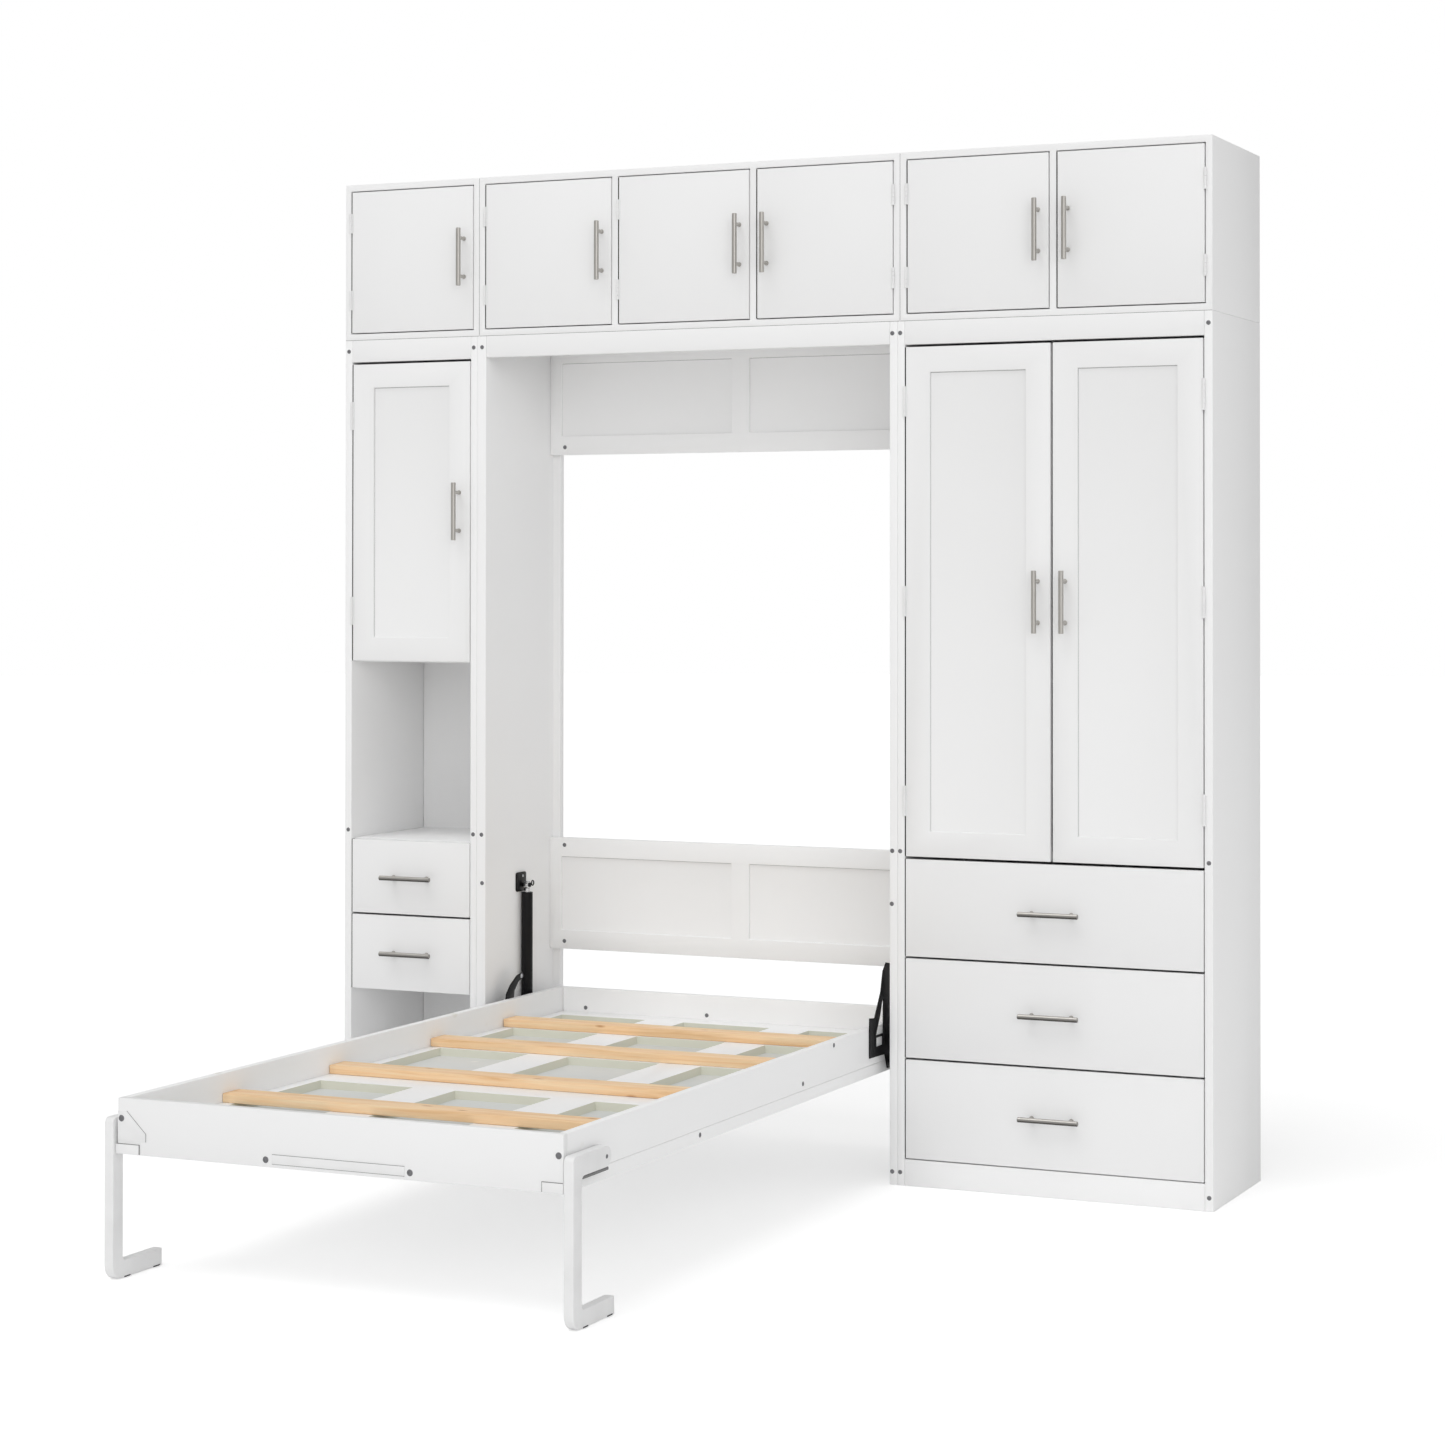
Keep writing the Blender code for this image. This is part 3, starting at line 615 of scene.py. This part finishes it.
def bolt_head(shape, centre, outward, radius=BOLT_RADIUS):
    """A flat round bolt head with a hexagon socket, just proud of its face."""
    sides = 24
    around = spokes(outward, sides)
    circle = [1.0] * sides
    flat = math.pi / 6  # from a corner of the hexagon to the middle of its side
    turns = [(math.tau * i / sides + flat) % (2 * flat) - flat for i in range(sides)]
    hexagon = [math.cos(flat) / math.cos(turn) for turn in turns]
    # each level: share of the radius, height over the face, outline
    levels = [(1.0, -BOLT_SUNK, circle), (1.0, 0.4 * BOLT_RISE, circle)]
    levels += [(0.86, BOLT_RISE, circle), (0.52, BOLT_RISE, hexagon)]
    levels += [(0.50, SOCKET_BOTTOM, hexagon)]
    rings = []
    for share, height, outline in levels:
        middle = centre + outward * height
        ring = [spoke * (radius * share * reach) for spoke, reach in zip(around, outline)]
        rings.append([shape.verts.new(middle + point) for point in ring])
    bridge(shape, rings)


def make_bolts(name, body, bolts, radius=BOLT_RADIUS, material=None):
    """One piece of bolt heads on one body; each is (centre in the cabinet frame, outward)."""
    shape = bmesh.new()
    for centre, outward in bolts:
        bolt_head(shape, at(*centre), outward, radius)
    place_piece(name, shape, material or BOLT_STEEL, body, smooth=30)


def make_cabinet_bolts():
    panel = cabinet_box("mid_back_panel")[0].y
    places = [(x, 0, z) for x in POST_BOLT_XS for z in POST_BOLT_ZS]
    places += [(x, 0, z) for x, z in STRUT_BOLTS]
    places += [(x, panel, z) for z in BACK_BOLT_ZS for x in BACK_BOLT_XS]
    make_bolts("cabinet_bolts", "cabinet", [(place, FORWARD) for place in places])


# ---- door hinges, and painted shade in gaps, seams and round fields ----------------------
HINGE_ROWS = {
    "overhead": (2.3355, 2.1385),
    "tower": (1.843, 1.345),
    "wardrobe": (1.846, 1.375, 0.905),
}
HINGE_LENGTH = {"overhead": 0.050, "tower": 0.072, "wardrobe": 0.072}
HINGE_RADIUS, HINGE_EDGE = 0.0036, 0.0004
HINGE_LEAF, LEAF_THICK = 0.0062, 0.0010
KNUCKLES = 5
DOOR_GAP, DRAWER_GAP = 0.003, 0.0025
SHADE_STRIP_FRONT, SHADE_STRIP_BACK = 0.0015, 0.0165
SHADE_STRIP_LEFT, SHADE_STRIP_RIGHT = 0.0001, 0.0006  # from the opening's left edge
SEAM_HALF, SEAM_FRONT, SEAM_BACK = 0.0007, 0.0003, 0.0011
FIELD_SINK, FIELD_SIZE = 0.001, 0.1  # a field is at least this deep, and this wide and high
LINE_HALF_DEPTH, LINE_LAP = 0.0004, 0.0002
# how wide the lines of painted shade are on each side of a field
DOOR_SHADE_LINES = {"top": 0.0016, "left": 0.0010, "right": 0.0007, "bottom": 0.0003}
BACK_SHADE_LINES = {"top": 0.0013, "left": 0.0005, "right": 0.0014, "bottom": 0.0004}


def make_door_hinges(joint):
    """Butt hinges: knuckles in turn on the case and on the door, and the door's leaf."""
    door = joint["child"]
    pin = Vector(joint["pos_m"])
    unit = door.split("_")[0]
    length = HINGE_LENGTH[unit]
    knuckle = length / KNUCKLES
    tall = knuckle - 2 * NEAR
    slim = HINGE_RADIUS - HINGE_EDGE
    profile = [(0, slim), (HINGE_EDGE, HINGE_RADIUS), (tall - HINGE_EDGE, HINGE_RADIUS)]
    profile += [(tall, slim)]
    door_low, door_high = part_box(door)
    inward = 1 if pin.x < (door_low.x + door_high.x) / 2 else -1
    leaf = sorted((pin.x, pin.x + inward * HINGE_LEAF))
    parts = {"cabinet": bmesh.new(), door: bmesh.new()}
    for z in HINGE_ROWS[unit]:
        low, high = z - length / 2 + NEAR, z + length / 2 - NEAR
        for i in range(KNUCKLES):
            shape = parts[door if i % 2 else "cabinet"]
            start = Vector((pin.x, pin.y, low + i * knuckle))
            turned(shape, profile, start, Z_AXIS, 16)
        front = Vector((leaf[0], FRONT - NEAR - LEAF_THICK, low))
        block(parts[door], front, Vector((leaf[1], FRONT - NEAR, high)))
    for body, shape in parts.items():
        word = "case" if body == "cabinet" else "door"
        place_piece(f"{door}_{word}_knuckles", shape, WHITE_COAT, body)


def make_hinges():
    for joint in frame["joints"]:
        if joint["child"] in DOORS:
            make_door_hinges(joint)


def make_gap_shade_strips():
    """A thin dark strip down the left side of every front's opening, inside the gap: painted shade for the dark
    gap there.
    """
    shape = bmesh.new()
    for front in DOORS + DRAWERS:
        if front == "wardrobe_door_right":  # it meets the other door, not a board
            continue
        low, high = cabinet_box(front)
        edge = low.x - (DRAWER_GAP if front in DRAWERS else DOOR_GAP)
        near = (edge + SHADE_STRIP_LEFT, SHADE_STRIP_FRONT, low.z)
        box_shape(shape, near, (edge + SHADE_STRIP_RIGHT, SHADE_STRIP_BACK, high.z))
    place_piece("front_gap_shade_strips", shape, BLACK_RUBBER_AND_SHADE, "cabinet")


def make_seam_shade():
    """The thin grey strips, painted shade, in the seams between the overhead units and under them."""
    shape = bmesh.new()
    boxes = sorted((cabinet_box(case) for case in OVERHEAD_CASES), key=lambda box: box[0].x)
    half, y0, y1 = SEAM_HALF, SEAM_FRONT, SEAM_BACK
    for i, (low, high) in enumerate(boxes):
        box_shape(shape, (low.x + 0.001, y0, low.z - half), (high.x - 0.001, y1, low.z + half))
        if i:
            box_shape(shape, (low.x - half, y0, low.z + 0.002), (low.x + half, y1, high.z - 0.002))
    place_piece("case_seam_shade", shape, GAP_SHADE_GREY, "cabinet")


def sunk_fields(node):
    """The corners, in the cabinet frame, of each flat field sunk into a board's front."""
    shape = node_shape(node)
    low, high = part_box(node)
    shift = at(0, 0, 0)
    fields = []
    for face in shape.faces:
        y = face.verts[0].co.y
        if face.normal.y > -0.99 or not low.y + FIELD_SINK < y < high.y - FIELD_SINK:
            continue
        xs = [v.co.x for v in face.verts]
        zs = [v.co.z for v in face.verts]
        if min(max(xs) - min(xs), max(zs) - min(zs)) > FIELD_SIZE:
            corners = (Vector((min(xs), y, min(zs))), Vector((max(xs), y, max(zs))))
            fields.append([corner - shift for corner in corners])
    shape.free()
    return fields


def make_field_shade_lines():
    """The grey lines of painted shade round the fields of the framed doors and back panels."""
    framed = [(door, DOOR_SHADE_LINES) for door in DOORS if not door.startswith("overhead")]
    framed += [(panel, BACK_SHADE_LINES) for panel in BACK_PANELS]
    for node, wide in framed:
        shape = bmesh.new()
        for a, b in sunk_fields(node):
            y0, y1, lap = a.y - LINE_HALF_DEPTH, a.y + LINE_HALF_DEPTH, LINE_LAP
            box_shape(shape, (a.x, y0, b.z - wide["top"]), (b.x, y1, b.z + lap))
            box_shape(shape, (a.x, y0, a.z - lap), (b.x, y1, a.z + wide["bottom"]))
            box_shape(shape, (a.x - lap, y0, a.z), (a.x + wide["left"], y1, b.z))
            box_shape(shape, (b.x - wide["right"], y0, a.z), (b.x + lap, y1, b.z))
        place_piece(f"{node}_lines", shape, SHADE_LINE_GREY, BODY_OF[node])


# ---- drawer runners and wardrobe rail ----------------------------------------------------
RUNNER_RISE = 0.075  # from the drawer's bottom to the middle of its runners
CHANNEL_HALF, CHANNEL_LIP, CHANNEL_DEPTH, CHANNEL_WALL = 0.0225, 0.0060, 0.0070, 0.0014
TONGUE_HALF, TONGUE_NEAR, TONGUE_FAR = 0.0150, 0.0020, 0.0134
RUNNER_GAP = 0.0004  # between the channel and the board that it is on
CHANNEL_START, CHANNEL_END = 0.026, 0.002  # from the fronts' plane, and from the drawer's back
TONGUE_START, TONGUE_END = 0.022, 0.018
CUP = ((0, 0.011), (0.0015, 0.011), (0.003, 0.008))  # along the rail, and out from it
CUP += ((0.003, 0.0035), (0.012, 0.003), (0.012, 0.0005))


def channel_outline():
    """A C channel with lips: the case's half of a runner."""
    half, deep, wall = CHANNEL_HALF, CHANNEL_DEPTH, CHANNEL_WALL
    lip = half - CHANNEL_LIP
    lower = [(0, -half), (deep, -half), (deep, -lip), (deep - wall, -lip)]
    lower += [(deep - wall, wall - half), (wall, wall - half)]
    return lower + [(x, -z) for x, z in reversed(lower)]


def make_runners():
    """Steel channels on both sides of each drawer: one on the case and one on the drawer."""
    channel = channel_outline()
    tongue = [(TONGUE_NEAR, -TONGUE_HALF), (TONGUE_FAR, -TONGUE_HALF)]
    tongue += [(TONGUE_FAR, TONGUE_HALF), (TONGUE_NEAR, TONGUE_HALF)]
    for drawer in DRAWERS:
        low, high = cabinet_box(drawer)
        z = low.z + RUNNER_RISE
        case_shape, drawer_shape = bmesh.new(), bmesh.new()
        for wall, inward in ((low.x - DRAWER_GAP, 1), (high.x + DRAWER_GAP, -1)):
            x, axis = wall + inward * RUNNER_GAP, inward * X_AXIS
            path = [at(x, y, z) for y in (CHANNEL_START, high.y - CHANNEL_END)]
            swept(case_shape, channel, path, axis, Z_AXIS)
            path = [at(x, y, z) for y in (TONGUE_START, high.y - TONGUE_END)]
            swept(drawer_shape, tongue, path, axis, Z_AXIS)
        place_piece(f"{drawer}_case_runners", case_shape, ZINC, "cabinet")
        place_piece(f"{drawer}_runners", drawer_shape, ZINC, drawer)


def make_hanging_rail():
    """The wardrobe's rail, and the flanged cup that holds it at each end."""
    low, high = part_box("hanging_rail")
    centre = (low + high) / 2
    radius = (high.z - low.z) / 2
    shape = bmesh.new()
    start = Vector((low.x, centre.y, centre.z))
    turned(shape, [(0, radius), (high.x - low.x, radius)], start, X_AXIS, 32)
    cup = [(distance, radius + rise) for distance, rise in CUP]
    for x, way in ((low.x, X_AXIS), (high.x, -X_AXIS)):
        turned(shape, cup, Vector((x, centre.y, centre.z)), way, 32)
    place_piece("hanging_rail_tube", shape, NICKEL_WIDE, "cabinet", ("hanging_rail",))


# ---- legs --------------------------------------------------------------------------------
LEG_PIVOT = (-1.477, 0.311)  # y, z
LEG_EDGE = 0.0032
LEG_THICK = 0.0215  # across the bar, without the boss
LEG_BOLT_RADIUS = 0.0042
LEG_ARM_HALF = 0.0215  # from the pivot to the under side of the top arm
# a grey strip of painted shade under each leg's top arm
ARM_SHADE_INSET, ARM_SHADE_THICK = 0.0015, 0.0065
ARM_SHADE_REACH = (-0.095, 0.012)  # from the pivot
PAD_WRAP, PAD_HIGH = 0.0004, 0.0034
PAD_SPANS = ((0.040, 0.062), (0.142, 0.166))  # from the front of the leg


def make_legs():
    for side, way in (("left", -1), ("right", 1)):
        node = f"leg_{side}"
        eased_node(node, WHITE_COAT, LEG_EDGE, 4)
        low, high = cabinet_box(node)
        face = low.x if way < 0 else high.x
        bolt = [((face, *LEG_PIVOT), way * X_AXIS)]
        make_bolts(f"leg_bolt_{side}", node, bolt, LEG_BOLT_RADIUS)
        make_leg_arm_gap_shade(side, face, way)
        make_foot_pads(side, face, way, low.y)


def leg_span(face, way, inset):
    """The two x that stand in from the outer and inner side of a leg's bar."""
    return sorted((face - way * inset, face - way * (LEG_THICK - inset)))


def make_leg_arm_gap_shade(side, face, way):
    """A grey strip under the top arm: painted shade for the gap there."""
    shape = bmesh.new()
    x0, x1 = leg_span(face, way, ARM_SHADE_INSET)
    y0, y1 = (LEG_PIVOT[0] + reach for reach in ARM_SHADE_REACH)
    top = LEG_PIVOT[1] - LEG_ARM_HALF
    box_shape(shape, (x0, y0, top - ARM_SHADE_THICK), (x1, y1, top))
    ease(shape, 0.002, 3)
    place_piece(f"leg_arm_gap_shade_{side}", shape, GAP_SHADE_GREY, f"leg_{side}")


def make_foot_pads(side, face, way, front):
    """Two thin black glides that wrap the bottom of the foot bar."""
    shape = bmesh.new()
    x0, x1 = leg_span(face, way, -PAD_WRAP)
    for start, end in PAD_SPANS:
        box_shape(shape, (x0, front + start, NEAR), (x1, front + end, PAD_HIGH))
    ease(shape, 0.001, 2)
    place_piece(f"foot_pads_{side}", shape, BLACK_RUBBER_AND_SHADE, f"leg_{side}")


# ---- hinge arms and struts ---------------------------------------------------------------
ROD_RADIUS, ROD_COLLAR = 0.005, 0.007
EYE_WIDE, EYE_EDGE, EYE_CHAMFER = 0.012, 0.001, 0.002
STRUT_EYE_RISE = 0.0165  # from the cylinder node's bottom to the middle of its eye
STRUT_PIN_DROP = 0.010  # from the rod node's top to its pin
BAY_FACE = {"left": 0.410, "right": 1.496}  # x of the bay's two inner sides
BRACKET_FRONT, BRACKET_BACK = 0.033, 0.018  # from the strut's pin
BRACKET_BELOW, BRACKET_ABOVE = 0.016, 0.033
BRACKET_GAP, BRACKET_THICK, BRACKET_CORNER = 0.0004, 0.0036, 0.006
BRACKET_SCREW_RADIUS, BRACKET_SCREW_RISE = 0.0036, 0.023
RING_RADIUS, RING_WIRE = 0.0060, 0.0016


def make_hinge_arms():
    for side in ("left", "right"):
        eased_node(f"hinge_arm_{side}", BLACK_COAT, 0.0005, 2)


def make_struts():
    for side in ("left", "right"):
        make_cylinder(side)
        make_rod(side)
        make_bracket(side)


def add_eye(shape, middle, radius):
    """Adds a flat round eye across the strut."""
    slim = radius - EYE_CHAMFER
    profile = [(0, slim), (EYE_EDGE, radius), (EYE_WIDE - EYE_EDGE, radius), (EYE_WIDE, slim)]
    turned(shape, profile, middle - X_AXIS * EYE_WIDE / 2, X_AXIS)


def make_cylinder(side):
    node = f"strut_cylinder_{side}"
    low, high = cabinet_box(node)
    centre = (low + high) / 2
    tube = (high.x - low.x) / 2
    bottom = low.z + STRUT_EYE_RISE
    length = high.z - bottom
    middle = at(centre.x, centre.y, bottom)
    shape = bmesh.new()
    profile = [(0.0, 0.006), (0.006, 0.0075), (0.012, tube - 0.002), (0.016, tube)]
    profile += [(length - 0.0008, tube), (length, tube - 0.0008)]
    turned(shape, profile, middle, Z_AXIS, 32)
    add_eye(shape, middle, 0.0125)
    place_piece(f"{node}_tube", shape, BLACK_COAT, node, (node,))


def make_rod(side):
    node = f"strut_rod_{side}"
    low, high = cabinet_box(node)
    centre = (low + high) / 2
    top = high.z - STRUT_PIN_DROP
    length = top - low.z
    shape = bmesh.new()
    profile = [(0, 0.004), (0.001, ROD_RADIUS), (length - 0.020, ROD_RADIUS)]
    profile += [(length - 0.0195, ROD_COLLAR), (length - 0.009, ROD_COLLAR)]
    profile += [(length - 0.008, ROD_RADIUS), (length, ROD_RADIUS)]
    turned(shape, profile, at(centre.x, centre.y, low.z), Z_AXIS)
    add_eye(shape, at(centre.x, centre.y, top), 0.010)
    place_piece(f"{node}_bar", shape, ROD_STEEL, node, (node,))


def make_bracket(side):
    """The plate and pin on the bay side that the strut hangs from, with its pull ring."""
    way = 1 if side == "left" else -1
    low, high = cabinet_box(f"strut_rod_{side}")
    y, z = (low.y + high.y) / 2, high.z - STRUT_PIN_DROP
    face = BAY_FACE[side]
    near = face + way * BRACKET_GAP
    far = near + way * BRACKET_THICK
    x0, x1 = sorted((near, far))
    shape = bmesh.new()
    plate_low = (x0, y - BRACKET_FRONT, z - BRACKET_BELOW)
    box_shape(shape, plate_low, (x1, y + BRACKET_BACK, z + BRACKET_ABOVE))
    corners = [e for e in shape.edges if abs((e.verts[0].co - e.verts[1].co).x) > SAME_POINT]
    round_off = {"offset": BRACKET_CORNER, "segments": 6, "profile": 0.5}
    bmesh.ops.bevel(shape, geom=corners, affect="EDGES", **round_off)
    ease(shape, 0.0006, 2)
    pin = [(0, 0.0052), (0.022, 0.0052), (0.023, 0.0042)]
    turned(shape, pin, at(face + way * 0.0035, y, z), way * X_AXIS, 20)
    place_piece(f"strut_bracket_{side}", shape, BLACK_COAT, "cabinet")
    screw = [((far, y, z + BRACKET_SCREW_RISE), way * X_AXIS)]
    name = f"strut_bracket_screws_{side}"
    make_bolts(name, "cabinet", screw, BRACKET_SCREW_RADIUS, ZINC)
    make_ring(side, at(face + way * 0.0235, y + 0.016, z + 0.004))


def make_ring(side, centre):
    """The ringed pin that keeps the strut on its bolt: a shank through it, and a pull ring."""
    shape = bmesh.new()
    shank = centre - Y_AXIS * 0.020
    turned(shape, [(0, RING_WIRE), (0.015, RING_WIRE)], shank, Y_AXIS, 12)
    around, through = 28, 10
    rows = []
    for i in range(around):
        angle = math.tau * i / around
        out = Y_AXIS * math.cos(angle) + Z_AXIS * math.sin(angle)
        row = []
        for j in range(through):
            turn = math.tau * j / through
            reach, aside = RING_RADIUS + RING_WIRE * math.cos(turn), RING_WIRE * math.sin(turn)
            row.append(shape.verts.new(centre + out * reach + X_AXIS * aside))
        rows.append(row)
    for i in range(around):
        near, far = rows[i], rows[(i + 1) % around]
        for j in range(through):
            k = (j + 1) % through
            shape.faces.new((near[j], far[j], far[k], near[k]))
    place_piece(f"strut_ring_{side}", shape, BLACK_COAT, f"strut_rod_{side}")


# ---- bed bolts and foot board fittings ---------------------------------------------------
FOOT_BOLT_RADIUS, HORN_BOLT_RADIUS = 0.0066, 0.0055
FOOT_CORNER_BOLT = (0.010, 0.331)  # in from the bed's side, and z
FOOT_STRIP_BOLTS = ((0.800, 0.273), (1.130, 0.273))
HEAD_BOLTS = ((0.530, 0.322), (0.874, 0.322))
RAIL_BOLTS = ((-0.994, 0.273), (-0.450, 0.300), (-0.270, 0.362))  # y, z on both rails
HORN_BOLT = (0.124, 0.4215)  # y, z at the tip of the left hinge arm
PLATE_THICK = 0.0012
PLATE_OUTLINE = ((0.001, 0.286), (0.068, 0.286), (0.068, 0.302), (0.022, 0.346), (0.001, 0.346))
BLOCK_BOTTOM, BLOCK_TOP, BLOCK_STAND = 0.2585, 0.2785, 0.0022
LEFT_BLOCK, RIGHT_BLOCK = (-0.004, 0.052), (-0.045, 0.001)  # from the board's ends
BLOCK_SEAM = 0.0015
STRIP_X, STRIP_Z = (0.815, 1.118), (0.266, 0.284)
LINE_HALF = 0.0006


def make_bed_bolts():
    foot = cabinet_box("foot_board")[0].y
    head = cabinet_box("head_board")[0].y
    x0, x1 = cabinet_box("bed_rail_left")[0].x, cabinet_box("bed_rail_right")[1].x
    inset, z = FOOT_CORNER_BOLT
    bolts = [((x0 + inset, foot - PLATE_THICK - NEAR, z), FORWARD)]
    bolts += [((x1 - inset, foot, z), FORWARD)]
    bolts += [((x, foot, z), FORWARD) for x, z in FOOT_STRIP_BOLTS]
    make_bolts("foot_board_bolts", "bed", bolts, FOOT_BOLT_RADIUS)
    bolts = [((x, head, z), FORWARD) for x, z in HEAD_BOLTS]
    bolts += [((x1, y, z), X_AXIS) for y, z in RAIL_BOLTS]
    bolts += [((x0, y, z), -X_AXIS) for y, z in RAIL_BOLTS]
    make_bolts("bed_bolts", "bed", bolts)
    tip = [((x0 - 0.0003, *HORN_BOLT), X_AXIS)]
    make_bolts("horn_bolt_left", "bed", tip, HORN_BOLT_RADIUS, ZINC)


def make_foot_fittings():
    """The corner plate and blocks, the inset strip, and the strips and lines of painted shade round them."""
    board_low, board_high = cabinet_box("foot_board")
    foot, x0, x1 = board_low.y, board_low.x, board_high.x
    make_corner_plate(x0, foot)
    make_corner_blocks(x0, x1, foot)
    shape = bmesh.new()
    near = (STRIP_X[0], foot - PLATE_THICK - NEAR, STRIP_Z[0])
    box_shape(shape, near, (STRIP_X[1], foot - NEAR, STRIP_Z[1]))
    ease(shape, 0.0005, 2)
    place_piece("foot_strip", shape, WHITE_COAT, "bed")
    make_foot_lines(x0, foot)


def make_corner_plate(x0, foot):
    """The five-sided plate at the foot board's left corner."""
    shape = bmesh.new()
    path = [at(x0, foot - NEAR - forward, 0) for forward in (0, PLATE_THICK)]
    swept(shape, PLATE_OUTLINE, path, X_AXIS, Z_AXIS)
    bmesh.ops.recalc_face_normals(shape, faces=shape.faces)  # ease() measures angles with them
    ease(shape, 0.0005, 2)
    place_piece("foot_corner_plate", shape, WHITE_COAT, "bed")


def make_corner_blocks(x0, x1, foot):
    """The two blocks, and a grey strip of painted shade in the gap above each and beside it."""
    shape = bmesh.new()
    for end, (a, b) in ((x0, LEFT_BLOCK), (x1, RIGHT_BLOCK)):
        near = (end + a, foot - BLOCK_STAND, BLOCK_BOTTOM)
        box_shape(shape, near, (end + b, foot - NEAR, BLOCK_TOP))
    ease(shape, 0.0006, 2)
    place_piece("foot_corner_blocks", shape, WHITE_COAT, "bed")
    seams = bmesh.new()
    y0, y1, top = foot - 0.0009, foot - 0.0001, BLOCK_TOP + 0.0012
    left, right = x0 + LEFT_BLOCK[1], x1 + RIGHT_BLOCK[0]
    for a, b, beside in ((x0 + 0.001, left, left), (right, x1 - 0.001, right - BLOCK_SEAM)):
        box_shape(seams, (a, y0, BLOCK_TOP - NEAR), (b, y1, top))
        box_shape(seams, (beside, y0, BLOCK_BOTTOM + 0.001), (beside + BLOCK_SEAM, y1, top))
    place_piece("foot_block_seam_shade", seams, GAP_SHADE_GREY, "bed")


def make_foot_lines(x0, foot):
    """The grey lines of painted shade along the inset strip and the corner plate."""
    lines = [[(x, z) for x in STRIP_X] for z in (STRIP_Z[1] + 0.0005, STRIP_Z[0] - 0.0005)]
    corner = (x0 + 0.0685, 0.302)
    lines += [[(x0 + 0.022, 0.3465), corner], [corner, (x0 + 0.0685, 0.286)]]
    shape = bmesh.new()
    outline = [(-0.0008, -LINE_HALF), (-0.0001, -LINE_HALF)]
    outline += [(-0.0001, LINE_HALF), (-0.0008, LINE_HALF)]
    for ends in lines:
        path = [at(x, foot, z) for x, z in ends]
        across = (path[1] - path[0]).normalized().cross(Y_AXIS)
        swept(shape, outline, path, Y_AXIS, across)
    place_piece("foot_lines", shape, SHADE_LINE_GREY, "bed")


make_camera()
make_world()
make_lights()
make_floor()
make_boards()
make_bed_boards()
make_handles()
make_cabinet_bolts()
make_hinges()
make_gap_shade_strips()
make_seam_shade()
make_field_shade_lines()
make_runners()
make_hanging_rail()
make_legs()
make_bed_bolts()
make_hinge_arms()
make_struts()
make_foot_fittings()

bpy.context.scene.view_settings.view_transform = "Standard"
